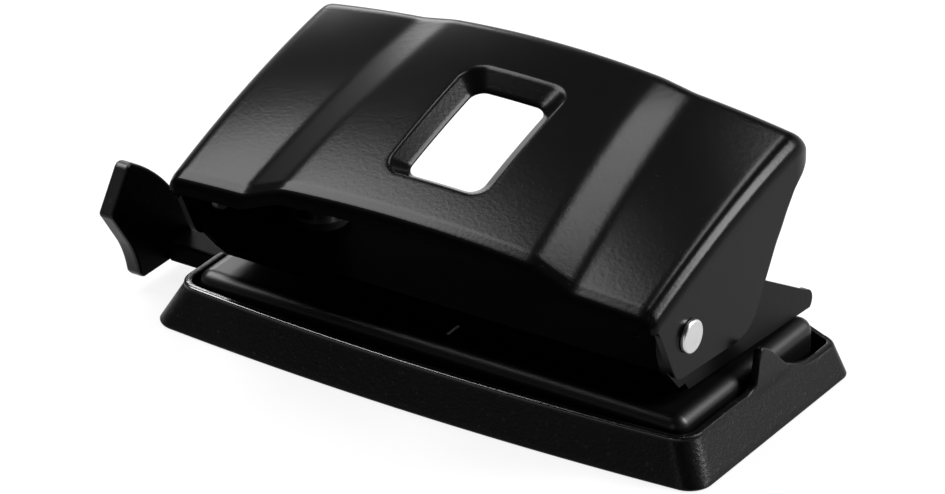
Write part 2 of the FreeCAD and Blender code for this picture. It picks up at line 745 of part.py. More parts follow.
def returnSpring(side):
    """A coil of round wire, lofted through sections square to the helix."""
    name = "left" if side < 0 else "right"
    wire = value("springWire / 2")
    low = value("tableHeight + slotHeight + frameSheet + guideFlangeHeight") + wire + 0.02
    high = value("ringHeight") - 0.6 - wire - 0.05
    radius, turns = value("springDiameter / 2"), value("springTurns")
    rise = (high - low) / (2 * math.pi * turns)
    count, sides = round(turns * value("springSections")), round(value("springSides"))
    sections = []
    for i in range(count + 1):
        angle = 2 * math.pi * turns * i / count
        around = Vector(math.cos(angle), math.sin(angle), 0)
        centre = around * radius + Vector(0, 0, rise * angle)
        square = Vector(around.y * rise, -around.x * rise, radius).normalize()
        ring = [centre + around * (wire * math.cos(turn)) + square * (wire * math.sin(turn))
                for turn in (2 * math.pi * k / sides for k in range(sides))]
        sections.append(Part.makePolygon(ring + ring[:1]))
    feature = doc.addObject("Part::Feature", name + "_return_spring")
    feature.Label = name + "_return_spring"
    feature.Shape = Part.makeLoft(sections, True, True)
    feature.Placement.Base = Vector(side * value("holePitch / 2"), value("pinRow"), low)
    return feature


# rivets, guide and its holder ------------------------------------------------------------

def rivetPlaces():
    """X and Y of the rivets that close the bridge on the table behind the paper stop."""
    row = "(pinRow + paperMargin + frameRear - frameSheet) / 2 + 0.6"
    return [("frameLength * %s" % part, row) for part in ("-0.34", "-0.12", "0.12", "0.34")]


def frameRivets():
    feature = doc.addObject("Part::Feature", "frame_rivets")
    feature.Label = "frame_rivets"
    land = value("tableHeight + frameSheet")
    under = value("tableHeight - frameSheet")
    shank, height = value("frameRivet / 2"), value("frameRivetHead")
    solids = []
    for x, y in rivetPlaces():
        x, y = value(x), value(y)
        head = Part.makeCone(shank * 1.4, shank * 1.05, height, Vector(x, y, land))
        body = Part.makeCylinder(shank, land - under, Vector(x, y, under))
        tail = Part.makeCylinder(shank * 1.3, height, Vector(x, y, under - height))
        solids.append(head.fuse(body).fuse(tail).removeSplitter())
    feature.Shape = Part.makeCompound(solids)
    return feature


def paperGuide():
    body = newBody("paper_guide")
    inner = "-stopOffset"
    outer = "-stopOffset - stopPlate"
    pad(body, "YZ_Plane", [
        ("barFront - 8.8", "barFoot + 1.2"),
        ("barFront - 7.6", "barFoot"),
        ("barRear", "barFoot"),
        ("barRear", "barTop + 3", "12"),
        ("barFront + 2", "barTop + 10"),
        ("barFront - 9.8", "barTop + 20", "1.2"),
        ("barFront - 11.4", "barTop + 19.4"),
        ("barFront - 16.2", "barTop + 12.6", "1"),
        ("barFront - 16.2", "barTop + 11.4"),
        ("barFront - 11.6", "barTop + 4.6", "-22"),
    ], outer, inner)
    pad(body, "YZ_Plane", rectangle("barFront", "barFoot", "barRear", "barTop"), inner, "barEnd")
    return body


def guideBracket():
    """A folded strap welded under the table, which the guide's bar runs through."""
    body = newBody("guide_bracket")
    top = "(tableHeight - frameSheet)"
    front = "(barFront - seatGap - bracketSheet)"
    rear = "(barRear + 0.2)"
    low = "(barFoot - 0.2 - bracketSheet)"
    pad(body, "YZ_Plane", [
        (front, low), (rear + " + bracketSheet", low), (rear + " + bracketSheet", "barTop"),
        (rear, "barTop"), (rear, "barFoot - 0.2"), (front + " + bracketSheet", "barFoot - 0.2"),
        (front + " + bracketSheet", top), (front + " - 5", top), (front + " - 5", top + " - bracketSheet"),
        (front, top + " - bracketSheet"),
    ], "bracketStart", "bracketStart + bracketLength")
    return body


def guideSpring():
    """A bowed leaf between the table and the bar."""
    body = newBody("guide_spring")
    top = "(tableHeight - frameSheet)"
    belly = "(barTop + 0.05)"
    rise = "(%s - %s - leafThickness)" % (top, belly)
    middle = "(bracketStart + bracketLength / 2)"
    reach = "(bracketLength / 2 - 1.5)"
    radius = "((%s)^2 + (%s)^2) / (2 * %s)" % (reach, rise, rise)
    pad(body, "XZ_Plane", [
        ("%s - %s" % (middle, reach), top + " - leafThickness", radius),
        ("%s + %s" % (middle, reach), top + " - leafThickness"),
        ("%s + %s + 1" % (middle, reach), top + " - leafThickness"),
        ("%s + %s + 1" % (middle, reach), top),
        ("%s + %s" % (middle, reach), top, "-(%s - leafThickness)" % radius),
        ("%s - %s" % (middle, reach), top),
        ("%s - %s - 1" % (middle, reach), top),
        ("%s - %s - 1" % (middle, reach), top + " - leafThickness"),
    ], "barFront + 1.5", "barRear - 1.5")
    return body


crown = "%.3f" % pinTop()
derived["ringHeight"] = "(%s - ringDrop)" % crown
parts = [chipTray(), baseFrame(), upperFrame(), frameRivets(), lever(), paperGuide(),
         guideBracket(), guideSpring()]
for hand in (-1, 1):
    parts += [pivotRivet(hand), pivotWasher(hand), punchPin(hand, crown), springSeat(hand),
              retainingRing(hand), pinGuide(hand), returnSpring(hand)]

doc.recompute()
for item in doc.Objects:
    for problem in ("Invalid", "Error"):
        if problem in item.State:
            raise RuntimeError("%s: %s" % (item.Label, item.State))
os.makedirs("parts", exist_ok=True)
for part in parts:
    shape = part.Shape
    if shape.isNull() or not shape.isValid():
        raise RuntimeError("bad shape: " + part.Label)
for part in parts:
    part.Shape.exportStep("parts/%s.step" % part.Label)
    print(part.Label, "solids", len(part.Shape.Solids), "volume %.1f" % part.Shape.Volume)
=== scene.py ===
import math

import bmesh
import bpy
import numpy as np
from mathutils import Matrix, Vector


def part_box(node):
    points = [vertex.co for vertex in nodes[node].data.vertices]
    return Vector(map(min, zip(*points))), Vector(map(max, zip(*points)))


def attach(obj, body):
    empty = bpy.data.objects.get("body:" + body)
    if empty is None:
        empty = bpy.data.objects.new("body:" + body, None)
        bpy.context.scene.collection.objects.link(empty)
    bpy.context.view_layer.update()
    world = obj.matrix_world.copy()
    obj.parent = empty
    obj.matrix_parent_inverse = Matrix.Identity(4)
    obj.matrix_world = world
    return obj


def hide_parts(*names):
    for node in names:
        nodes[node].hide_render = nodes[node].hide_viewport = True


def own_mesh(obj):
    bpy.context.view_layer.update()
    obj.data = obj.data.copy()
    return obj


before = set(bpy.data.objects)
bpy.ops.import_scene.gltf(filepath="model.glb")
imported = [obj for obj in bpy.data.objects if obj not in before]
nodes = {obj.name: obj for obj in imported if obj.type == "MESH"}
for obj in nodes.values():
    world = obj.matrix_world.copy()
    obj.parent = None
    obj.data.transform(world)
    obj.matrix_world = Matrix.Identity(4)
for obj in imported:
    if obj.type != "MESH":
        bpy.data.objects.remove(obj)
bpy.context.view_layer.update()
mm = 0.001
pi = math.pi


# mesh helpers: every surface is a grid of points in millimetres, worked out as whole numpy arrays

mergeDistance = 0.000004        # points closer than this, in metres, become one
sliverLength = 0.000002         # shorter edges, in metres, are dissolved
almostStraight = 1.55           # half a corner's angle, in radians, past which it isn't rounded


def gridQuads(rows, cols, closed=False, skip=None):
    # quads of a grid with rows x cols points; closed joins the last column to the first,
    # and skip is a mask of the quads that are left open
    across = cols if closed else cols - 1
    i, j = np.meshgrid(np.arange(rows - 1), np.arange(across), indexing="ij")
    k = (j + 1) % cols
    quads = np.stack([i * cols + j, i * cols + k, (i + 1) * cols + k, (i + 1) * cols + j], -1)
    return quads.reshape(-1, 4) if skip is None else quads[~skip]


def patch(points, closed=False, skip=None):
    # one grid of points (rows, cols, 3) with its faces
    points = np.asarray(points, dtype=float)
    rows, cols = points.shape[:2]
    return points.reshape(-1, 3), gridQuads(rows, cols, closed, skip).tolist()


def capRing(points):
    # a flat face over one closed ring of points (n, 3)
    return np.asarray(points, dtype=float), [list(range(len(points)))]


def facing(part, way):
    # the same patch with its faces turned towards `way`
    points, faces = part
    a, b, c = (points[[face[k] for face in faces]] for k in (0, 1, 2))
    if (np.cross(b - a, c - b).sum(0) @ np.asarray(way, dtype=float)) < 0:
        faces = [face[::-1] for face in faces]
    return points, faces


def buildPiece(name, patches, look, body, replaced, angle, thickness=0, bevel=0, segments=2,
               outward=(0, 0, 1), also=None):
    # joins the patches into one piece, turns its faces outwards unless outward is None, then gives it
    # a wall and soft edges; look names its finish, and also = (look, test) a second one, for the faces
    # whose middle, in millimetres, passes the test
    mesh = bpy.data.meshes.new(name)
    vertices, faces, start = [], [], 0
    for points, quads in patches:
        vertices.append(points)
        faces += [[index + start for index in quad] for quad in quads]
        start += len(points)
    mesh.from_pydata((np.concatenate(vertices) * mm).tolist(), [], faces)
    work = bmesh.new()
    work.from_mesh(mesh)
    bmesh.ops.remove_doubles(work, verts=work.verts, dist=mergeDistance)
    bmesh.ops.dissolve_degenerate(work, edges=work.edges, dist=sliverLength)
    if outward is not None:
        bmesh.ops.recalc_face_normals(work, faces=work.faces)
        way = Vector(outward)
        far = max(work.faces, key=lambda face: face.calc_center_median().dot(way))
        if far.normal.dot(way) < 0:
            bmesh.ops.reverse_faces(work, faces=work.faces)
    work.to_mesh(mesh)
    work.free()
    mesh.polygons.foreach_set("use_smooth", [True] * len(mesh.polygons))
    mesh.set_sharp_from_angle(angle=math.radians(angle))
    piece = bpy.data.objects.new(name, mesh)
    bpy.context.scene.collection.objects.link(piece)
    if thickness:
        wall = piece.modifiers.new("wall", "SOLIDIFY")
        wall.thickness = thickness * mm
        wall.offset = -1
        wall.use_even_offset = True
    if bevel:
        soft = piece.modifiers.new("softEdges", "BEVEL")
        soft.width = bevel * mm
        soft.segments = segments
        soft.limit_method = "ANGLE"
        soft.angle_limit = math.radians(angle)
        soft.harden_normals = False
    even = piece.modifiers.new("evenNormals", "WEIGHTED_NORMAL")
    even.keep_sharp = True
    mesh.materials.append(looks[look])
    if also:
        second, test = also
        mesh.materials.append(looks[second])
        for polygon in mesh.polygons:
            polygon.material_index = int(test(*(polygon.center / mm)))
    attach(piece, body)
    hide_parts(*replaced)
    return piece


def roundedLoop(corners, radii, steps=8):
    # a closed 2D outline through corners, each rounded by an arc of its radius:
    # the arc touches both sides at radius / tan(half the corner's angle)
    corners = np.asarray(corners, dtype=float)
    points = []
    for i, radius in enumerate(radii):
        here, before, after = corners[i], corners[i - 1], corners[(i + 1) % len(corners)]
        a = (before - here) / np.linalg.norm(before - here)
        b = (after - here) / np.linalg.norm(after - here)
        half = math.acos(np.clip(a @ b, -1, 1)) / 2
        if radius <= 0 or half > almostStraight:
            points.append(here[None])
            continue
        middle = here + (a + b) / np.linalg.norm(a + b) * radius / math.sin(half)
        first = here + a * radius / math.tan(half) - middle
        last = here + b * radius / math.tan(half) - middle
        turn = math.atan2(first[0] * last[1] - first[1] * last[0], first @ last)
        t = np.linspace(0, turn, steps + 1)
        points.append(np.stack([middle[0] + first[0] * np.cos(t) - first[1] * np.sin(t),
                                middle[1] + first[0] * np.sin(t) + first[1] * np.cos(t)], -1))
    return np.concatenate(points)


def arcOutline(corners):
    # a closed outline through (u, v) or (u, v, radius): a radius bends the edge that leaves the
    # corner into an arc of ten steps, outwards if it is above zero
    points = []
    for i, corner in enumerate(corners):
        p = np.array(corner[:2], dtype=float)
        q = np.array(corners[(i + 1) % len(corners)][:2], dtype=float)
        points.append(p[None])
        if len(corner) == 2:
            continue
        radius, chord = corner[2], q - p
        length = np.linalg.norm(chord)
        half = math.asin(min(length / 2 / abs(radius), 1))
        side = np.array([chord[1], -chord[0]]) / length * math.copysign(1, radius)
        t = np.linspace(-half, half, 11)[1:-1, None]
        bow = (np.cos(t) - math.cos(half)) * abs(radius)
        points.append((p + q) / 2 + chord / length * np.sin(t) * abs(radius) + side * bow)
    return np.concatenate(points)


def prism(outline, start, end):
    # an outline in Y and Z drawn out along X, with both ends closed
    ends = [np.insert(np.asarray(outline, dtype=float), 0, x, axis=1) for x in (start, end)]
    return [patch(ends, closed=True), capRing(ends[0]), capRing(ends[1])]


def block(low, high):
    # a plain box between two corners
    y, z = (low[1], high[1]), (low[2], high[2])
    return prism([(y[0], z[0]), (y[1], z[0]), (y[1], z[1]), (y[0], z[1])], low[0], high[0])


def spread(marks, pitch):
    # grid lines that hit every mark and lie about a pitch apart
    marks = sorted(marks)
    runs = [np.linspace(a, b, max(int(math.ceil((b - a) / pitch)), 1) + 1)[:-1]
            for a, b in zip(marks, marks[1:])]
    return np.concatenate(runs + [[marks[-1]]])


def roundHole(xs, ys, centre, radius, height, room):
    # the quads left out round a hole, and the loops that lead from the square gap in to its edge
    i0, i1 = (int(np.argmin(abs(xs - (centre[0] + d)))) for d in (-room, room))
    j0, j1 = (int(np.argmin(abs(ys - (centre[1] + d)))) for d in (-room, room))
    sides = ((xs[i0:i1], ys[j0]), (xs[i1], ys[j0:j1]), (xs[i1:i0:-1], ys[j1]), (xs[i0], ys[j1:j0:-1]))
    square = np.concatenate([np.stack(np.broadcast_arrays(x, y), -1) for x, y in sides])
    away = square - np.asarray(centre)
    rim = np.asarray(centre) + away / np.linalg.norm(away, axis=1)[:, None] * radius
    loops = np.stack([square * (1 - t) + rim * t for t in (0, 0.5, 0.85, 1)])
    return (i0, i1, j0, j1), patch(np.dstack([loops, np.full(loops.shape[:2], height)]), closed=True)


def holedSheet(xs, ys, points, holes):
    # a grid that faces up, with its holes given as (x, y, radius, height, room)
    skip = np.zeros((len(ys) - 1, len(xs) - 1), dtype=bool)
    patches = []
    for x, y, radius, height, room in holes:
        (i0, i1, j0, j1), rim = roundHole(xs, ys, (x, y), radius, height, room)
        skip[j0:j1, i0:i1] = True
        patches.append(facing(rim, (0, 0, 1)))
    return patches + [facing(patch(points, skip=skip), (0, 0, 1))]


def lathe(profile, centre, axis, count):
    # a profile of (radius, height) points turned once round the axis
    profile = np.asarray(profile, dtype=float)
    turn = np.linspace(0, 2 * pi, count, endpoint=False)
    r, h = profile[:, :1], profile[:, 1:]
    a, b = r * np.cos(turn), r * np.sin(turn)
    h = np.broadcast_to(h, a.shape)
    points = {"z": (a, b, h), "x": (h, a, b), "-x": (-h, b, a)}[axis]
    return patch(np.stack(points, -1) + np.asarray(centre, dtype=float), closed=True)


def smoothCurve(x, line, reach):
    # straight runs through the line's points, averaged over nine offsets up to reach so that its
    # corners are round
    xs, ys = np.transpose(line)
    offsets = np.linspace(-1, 1, 9)
    weights = np.exp(-2.2 * offsets ** 2)
    return sum(w * np.interp(x + reach * o, xs, ys) for w, o in zip(weights, offsets)) / weights.sum()


print("helpers ready")


# finishes

def newGroup(name, inputs, outputs):
    group = bpy.data.node_groups.new(name, "ShaderNodeTree")
    for title, kind, value in inputs:
        socket = group.interface.new_socket(name=title, in_out="INPUT", socket_type="NodeSocket" + kind)
        if value is not None:
            socket.default_value = value
    for title, kind in outputs:
        group.interface.new_socket(name=title, in_out="OUTPUT", socket_type="NodeSocket" + kind)
    return group, group.nodes.new("NodeGroupInput"), group.nodes.new("NodeGroupOutput")


def addNode(tree, kind, links=(), **settings):
    # a node with its settings, with links given as (input, output socket)
    made = tree.nodes.new("ShaderNode" + kind)
    for key, value in settings.items():
        if key.startswith("in_"):
            made.inputs[key[3:].replace("_", " ")].default_value = value
        else:
            setattr(made, key, value)
    for target, source in links:
        tree.links.new(source, made.inputs[target])
    return made


def makeGrainGroup():
    # a fine pebbled grain: a small noise over a broad one, both squeezed along X by Stretch
    group, start, end = newGroup("pressedGrain", [
        ("Vector", "Vector", None), ("Grain Size", "Float", 900.0), ("Depth", "Float", 0.2),
        ("Stretch", "Float", 1.0)], [("Normal", "Vector")])
    stretched = addNode(group, "CombineXYZ", in_Y=1.0, in_Z=1.0, links=[("X", start.outputs["Stretch"])])
    placed = addNode(group, "VectorMath", operation="MULTIPLY",
                     links=[(0, start.outputs["Vector"]), (1, stretched.outputs[0])])
    fine = addNode(group, "TexNoise", in_Detail=3.0, in_Roughness=0.55,
                   links=[("Vector", placed.outputs[0]), ("Scale", start.outputs["Grain Size"])])
    broad = addNode(group, "TexNoise", in_Scale=160.0, in_Detail=2.0, links=[("Vector", placed.outputs[0])])
    mixed = addNode(group, "Math", operation="MULTIPLY_ADD",
                    links=[(0, broad.outputs["Fac"]), (2, fine.outputs["Fac"])])
    mixed.inputs[1].default_value = 0.8
    bump = addNode(group, "Bump", in_Distance=0.0002,
                   links=[("Strength", start.outputs["Depth"]), ("Height", mixed.outputs[0])])
    group.links.new(bump.outputs[0], end.inputs["Normal"])
    return group


def makeHandlingGroup():
    # smudges and a little dust: a slow noise that varies roughness, and sparse light specks
    group, start, end = newGroup("handlingMarks", [
        ("Vector", "Vector", None), ("Roughness", "Float", 0.4), ("Spread", "Float", 0.1),
        ("Base", "Color", (0.02, 0.02, 0.02, 1)), ("Dust", "Float", 0.02)],
        [("Color", "Color"), ("Roughness", "Float")])
    smudge = addNode(group, "TexNoise", in_Scale=45.0, in_Detail=4.0, in_Roughness=0.6,
                     links=[("Vector", start.outputs["Vector"])])
    centred = addNode(group, "Math", operation="SUBTRACT", links=[(0, smudge.outputs["Fac"])])
    centred.inputs[1].default_value = 0.5
    varied = addNode(group, "Math", operation="MULTIPLY_ADD", links=[
        (0, centred.outputs[0]), (1, start.outputs["Spread"]), (2, start.outputs["Roughness"])])
    specks = addNode(group, "TexNoise", in_Scale=1400.0, in_Detail=1.0,
                     links=[("Vector", start.outputs["Vector"])])
    sparse = addNode(group, "MapRange", in_From_Min=0.66, in_From_Max=0.74,
                     links=[("Value", specks.outputs["Fac"])])
    amount = addNode(group, "Math", operation="MULTIPLY",
                     links=[(0, sparse.outputs[0]), (1, start.outputs["Dust"])])
    mixed = addNode(group, "Mix", data_type="RGBA", links=[("Factor", amount.outputs[0])])
    group.links.new(start.outputs["Base"], mixed.inputs[6])
    mixed.inputs[7].default_value = (0.35, 0.35, 0.34, 1)
    group.links.new(mixed.outputs[2], end.inputs["Color"])
    group.links.new(varied.outputs[0], end.inputs["Roughness"])
    return group


grainGroup = makeGrainGroup()
handlingGroup = makeHandlingGroup()


def addGroup(tree, group, place, values):
    # a group node that reads the object's own coordinates
    made = tree.nodes.new("ShaderNodeGroup")
    made.node_tree = group
    tree.links.new(place.outputs["Object"], made.inputs["Vector"])
    for key, value in values.items():
        made.inputs[key].default_value = value
    return made


def makeFinish(name, base, roughness, spread, metallic, ior, grain, depth, stretch, dust):
    material = bpy.data.materials.new(name)
    material.use_nodes = True
    tree = material.node_tree
    shader = tree.nodes["Principled BSDF"]
    place = addNode(tree, "TexCoord")
    pebbles = addGroup(tree, grainGroup, place, {"Grain Size": grain, "Depth": depth, "Stretch": stretch})
    marks = addGroup(tree, handlingGroup, place,
                     {"Roughness": roughness, "Spread": spread, "Base": (*base, 1), "Dust": dust})
    tree.links.new(marks.outputs["Color"], shader.inputs["Base Color"])
    tree.links.new(marks.outputs["Roughness"], shader.inputs["Roughness"])
    tree.links.new(pebbles.outputs["Normal"], shader.inputs["Normal"])
    shader.inputs["Metallic"].default_value = metallic
    shader.inputs["IOR"].default_value = ior
    return material


finishes = {
    # base colour, roughness and how far smudges change it, metallic, index of refraction, then the
    # grain's size, depth and stretch, and dust
    "leverPaint": ((0.0008, 0.0008, 0.0009), 0.22, 0.04, 0, 1.15, 1300, 0.09, 0.9, 0.006),
    # painted shade: the lever's front lip and the front of its left flange take a darker, less glossy copy of
    # the lever's paint
    "lipPaintedShade": ((0.0006, 0.0006, 0.0007), 0.35, 0.04, 0, 1.06, 820, 0.1, 1, 0.002),
    "framePaint": ((0.001, 0.001, 0.0011), 0.38, 0.05, 0, 1.29, 500, 0.04, 1, 0.004),
    "scribedMark": ((0.8, 0.8, 0.8), 0.4, 0.05, 0, 1.45, 500, 0.04, 1, 0.02),
    # painted shade: the bridge's paint is all but black and mirrors almost nothing, for the shade under the
    # lever; the ear's paint below is its lit copy, used on the right ear only
    "bridgeShadedPaint": ((0.0004, 0.0004, 0.0004), 0.5, 0.08, 0, 1.015, 700, 0.08, 1, 0.001),
    "earLitPaint": ((0.0015, 0.0015, 0.0016), 0.34, 0.08, 0, 1.13, 700, 0.08, 1, 0.003),
    "trayPlastic": ((0.0012, 0.0012, 0.0013), 0.34, 0.06, 0, 1.19, 1700, 0.3, 1, 0.025),
    # painted highlight: a glossier copy of the tray's plastic, for the top edge of its front and rear rim
    "trayRimHighlight": ((0.002, 0.002, 0.0021), 0.2, 0.05, 0, 1.5, 1500, 0.1, 1, 0.006),
    "guidePlastic": ((0.002, 0.002, 0.0022), 0.36, 0.06, 0, 1.27, 1200, 0.1, 1, 0.02),
    "guideShade": ((0.0008, 0.0008, 0.0009), 0.4, 0.06, 0, 1.06, 1200, 0.1, 1, 0.02),
    "platedSteel": ((0.54, 0.54, 0.54), 0.3, 0.1, 1, 1.45, 600, 0.08, 1, 0),
    # painted shade: steel darkened far below plated steel, for the bushes and the pivot rivets' shanks inside
    # the frame
    "shadedBushSteel": ((0.05, 0.05, 0.05), 0.4, 0.1, 1, 1.45, 600, 0.08, 1, 0),
    # painted shade: the springs, rings and punch pins sit in the shade under the lever, so their steel is
    # darkened
    "shadedSpringSteel": ((0.05, 0.05, 0.052), 0.4, 0.1, 1, 1.45, 900, 0.05, 1, 0),
    "shadedGroundSteel": ((0.12, 0.12, 0.122), 0.26, 0.08, 1, 1.45, 300, 0.06, 8, 0),
    "zincStrap": ((0.4, 0.4, 0.4), 0.42, 0.15, 1, 1.45, 200, 0.06, 1, 0),
    "palePlastic": ((0.5, 0.5, 0.48), 0.5, 0.06, 0, 1.45, 900, 0.05, 1, 0.02),
    "darkPlastic": ((0.03, 0.03, 0.03), 0.5, 0.06, 0, 1.45, 900, 0.05, 1, 0.02),
}
looks = {name: makeFinish(name, *values) for name, values in finishes.items()}
print("finishes ready")


# the lever: one pressed sheet with two slanting ribs, a drawn window, rolled lips and flanges

lever = {
    "half": 50.4, "front": -27.45, "rear": 17.35, "sheet": 1.2, "softEdge": 0.25,
    "frontRoll": 2.6, "rearRoll": 5.2, "shoulder": 3.5, "rearCorner": 1.6,
    "rollAngles": (80, 82),                 # how far the front and rear lips turn down, in degrees
    "frontTail": (0.2, 1.1), "rearTail": (0.1, 1.2),    # the straight end of each lip: out and down
    "span": (-29, 48.3),                    # Y where the pairs below start, and the way to where they end
    "edge": (33.7, 47.7), "edgeBulge": 1.4,             # height of the long edges
    "side": (0.8, 2.8), "sideBulge": 0.35, "step": (3.3, 1.25), "middle": (1.15, 1.08),     # rises
    "foot": (33.8, 28.2), "head": (25.8, 21.6),         # X of a rib's outer and inner crease
    "crease": 1.5,                          # half the width that a rib's creases are rounded over
    "edgeSlope": 0.11, "gridHalf": 47.7,    # the top's slope at its long edges, and its half width as a grid
    "sideLines": 52, "windowLines": 41, "rows": 89,     # beside the window, across it, and along the top
    "window": (7.5, 11.35, -6.3), "windowRoom": (6.5, 6.0),     # half sizes and middle, and the grid left open
    "windowCorner": 2.5, "cornerGrowth": 0.45,          # the corners' radius, and how it grows further out
    "windowRim": 2.5, "windowRoll": 1.1, "rollReach": 0.9,      # widths of the slope and of the roll over it
    "windowDepth": 2.8, "slopeRoom": 0.5,               # the depth, and what the slope's angle leaves of it
    "windowEdge": (0.2, 0.3, 0.45),         # the upright edge: room round it, where it starts, its height
    "lipShadeZone": (-29.1, -50.2, -19),       # where the lip's painted shade goes: in front of this Y, or beyond this X and in front of this Y
}
# the lower edge of the flanges in Y and Z
flangeLine = [(-34, 31.6), (-29.4, 31.2), (-27.4, 30.4), (-22.3, 19.4), (-20.6, 18.3), (-1.5, 17.0),
              (2.1, 17.8), (4.4, 19.8), (7.3, 24.8), (9.9, 29.1), (11.0, 30.9), (12.3, 32.4), (13.3, 33.9),
              (14.3, 35.4), (15.6, 36.9), (16.6, 38.3), (18.2, 39.5), (20.2, 40.6), (21.5, 41.7), (24.0, 43.4)]


def leverHeight(x, y):
    # the pressed top at (x, y): a side panel, a slanting step and a crowned middle panel, averaged over
    # seven offsets in X so that the creases are round
    start, run = lever["span"]
    share = np.clip((y - start) / run, -0.06, 1.1)
    edge, side, step, middle, foot, head = (
        lever[key][0] + (lever[key][1] - lever[key][0]) * share
        for key in ("edge", "side", "step", "middle", "foot", "head"))
    edge = edge + lever["edgeBulge"] * 4 * share * (1 - share)
    total = 0
    offsets = np.linspace(-1, 1, 7)
    weights = np.exp(-2.0 * offsets ** 2)
    for weight, offset in zip(weights, offsets):
        out = np.abs(x + lever["crease"] * offset)
        t = np.clip((lever["half"] - out) / (lever["half"] - foot), -0.3, 1)
        panel = side * (t + lever["sideBulge"] * t * (1 - t))
        rise = step * np.clip((foot - out) / (foot - head), 0, 1)
        crown = middle * (1 - np.minimum(out / head, 1) ** 2)
        total = total + weight * (edge + panel + rise + crown)
    return total / weights.sum()


def leverStations():
    # along the lever: Y, how far the top is moved down, the Y where it is read, and the roll's angle
    front, rear, rows = lever["front"], lever["rear"], lever["rows"]
    (frontOut, frontDown), (rearOut, rearDown) = lever["frontTail"], lever["rearTail"]
    a = np.radians(np.linspace(lever["rollAngles"][0], 0, 9))[:-1]
    b = np.radians(np.linspace(0, lever["rollAngles"][1], 13))[1:]
    r, q = lever["frontRoll"], lever["rearRoll"]
    y = np.concatenate([[front - r * np.sin(a[0]) - frontOut], front - r * np.sin(a),
                        np.linspace(front, rear, rows),
                        rear + q * np.sin(b), [rear + q * np.sin(b[-1]) + rearOut]])
    drop = np.concatenate([[r * (1 - np.cos(a[0])) + frontDown], r * (1 - np.cos(a)), np.zeros(rows),
                           q * (1 - np.cos(b)), [q * (1 - np.cos(b[-1])) + rearDown]])
    at = np.clip(y, front - 0.35 * r, rear + 0.3 * q)      # read on a little way into each roll
    turn = np.concatenate([[a[0]], a, np.zeros(rows), b, [b[-1]]])
    return y, drop, at, turn


def leverPiece():
    y, drop, at, turn = leverStations()
    # grid lines that meet the square left open round the window
    (wx, wy, wc), (roomX, roomY) = lever["window"], lever["windowRoom"]
    holeX, holeY = wx + roomX, wy + roomY
    fore, aft = np.argmin(abs(y - (wc - holeY))), np.argmin(abs(y - (wc + holeY)))
    plan = np.where(y > 0, lever["rearCorner"], lever["frontRoll"])
    width = lever["half"] - plan * (1 - np.cos(turn))
    bend = np.maximum(lever["shoulder"] * np.cos(turn), 0.5)
    whole, lines = lever["gridHalf"], lever["sideLines"]
    top = np.concatenate([np.linspace(-1, -holeX / whole, lines)[:-1],
                          np.linspace(-holeX / whole, holeX / whole, lever["windowLines"]),
                          np.linspace(holeX / whole, 1, lines)[1:]])
    slope = math.atan(lever["edgeSlope"])
    reach = (width - bend + bend * math.sin(slope))[:, None]
    # columns stay straight beside the window and spread out to the shoulders
    across = np.abs(top[None]) * whole
    outer = holeX + (across - holeX) / (whole - holeX) * (reach - holeX)
    x = np.sign(top[None]) * np.where(across <= holeX + 1e-6, across, outer)
    z = leverHeight(x, at[:, None]) - drop[:, None]
    # shoulders: an arc from the top's own slope to the upright flange, then the flange itself
    arc = np.radians(np.linspace(90 - math.degrees(slope), 0, 9))[1:]
    floor = smoothCurve(y, flangeLine, 1.0)
    strips = []
    for side, edge in ((-1, z[:, 0]), (1, z[:, -1])):
        cz = edge - bend * math.cos(slope)
        ax = (width - bend)[:, None] + bend[:, None] * np.cos(arc)
        az = cz[:, None] + bend[:, None] * np.sin(arc)
        fz = cz[:, None] + (np.minimum(floor, cz - 0.25) - cz)[:, None] * np.linspace(0, 1, 15)[1:]
        fx = np.broadcast_to(width[:, None], fz.shape)
        px, pz = np.concatenate([ax, fx], 1) * side, np.concatenate([az, fz], 1)
        strips.append(np.stack([px, np.broadcast_to(y[:, None], px.shape), pz], -1))
    middle = np.stack([x, np.broadcast_to(y[:, None], x.shape), z], -1)
    points = np.concatenate([strips[0][:, ::-1], middle, strips[1]], 1)
    first = strips[0].shape[1] + lines - 1
    last = first + lever["windowLines"] - 1
    skip = np.zeros((points.shape[0] - 1, points.shape[1] - 1), dtype=bool)
    skip[fore:aft, first:last] = True
    # loops from the square opening in to the window's rim and down its sloped wall
    sides = (points[fore, first:last + 1], points[fore:aft + 1, last],
             points[aft, first:last + 1][::-1], points[fore:aft + 1, first][::-1])
    square = np.concatenate([side[:-1, :2] for side in sides])
    counts = [len(side) - 1 for side in sides]
    return [patch(points, skip=skip), patch(windowLoops(square, counts), closed=True)]


def windowRing(counts, grow):
    # a rounded rectangle round the window with as many points on each side as the square has
    arcSteps = 16
    wx, wy, wc = lever["window"]
    radius = lever["windowCorner"] + grow * lever["cornerGrowth"]
    hx, hy = wx + grow, wy + grow
    ring = roundedLoop([(-hx, -hy), (hx, -hy), (hx, hy), (-hx, hy)], [radius] * 4, arcSteps)
    closed = np.concatenate([ring, ring[:1]])
    length = np.concatenate([[0], np.cumsum(np.linalg.norm(np.diff(closed, axis=0), axis=1))])
    marks = [length[(arcSteps + 1) * k + arcSteps // 2] for k in range(4)]      # the corners' middles
    marks.append(length[-1] + marks[0])
    places = np.concatenate([np.linspace(marks[k], marks[k + 1], counts[k] + 1)[:-1] for k in range(4)])
    places = places % length[-1]
    x = np.interp(places, length, closed[:, 0])
    y = np.interp(places, length, closed[:, 1])
    return np.stack([x, y + wc], -1)


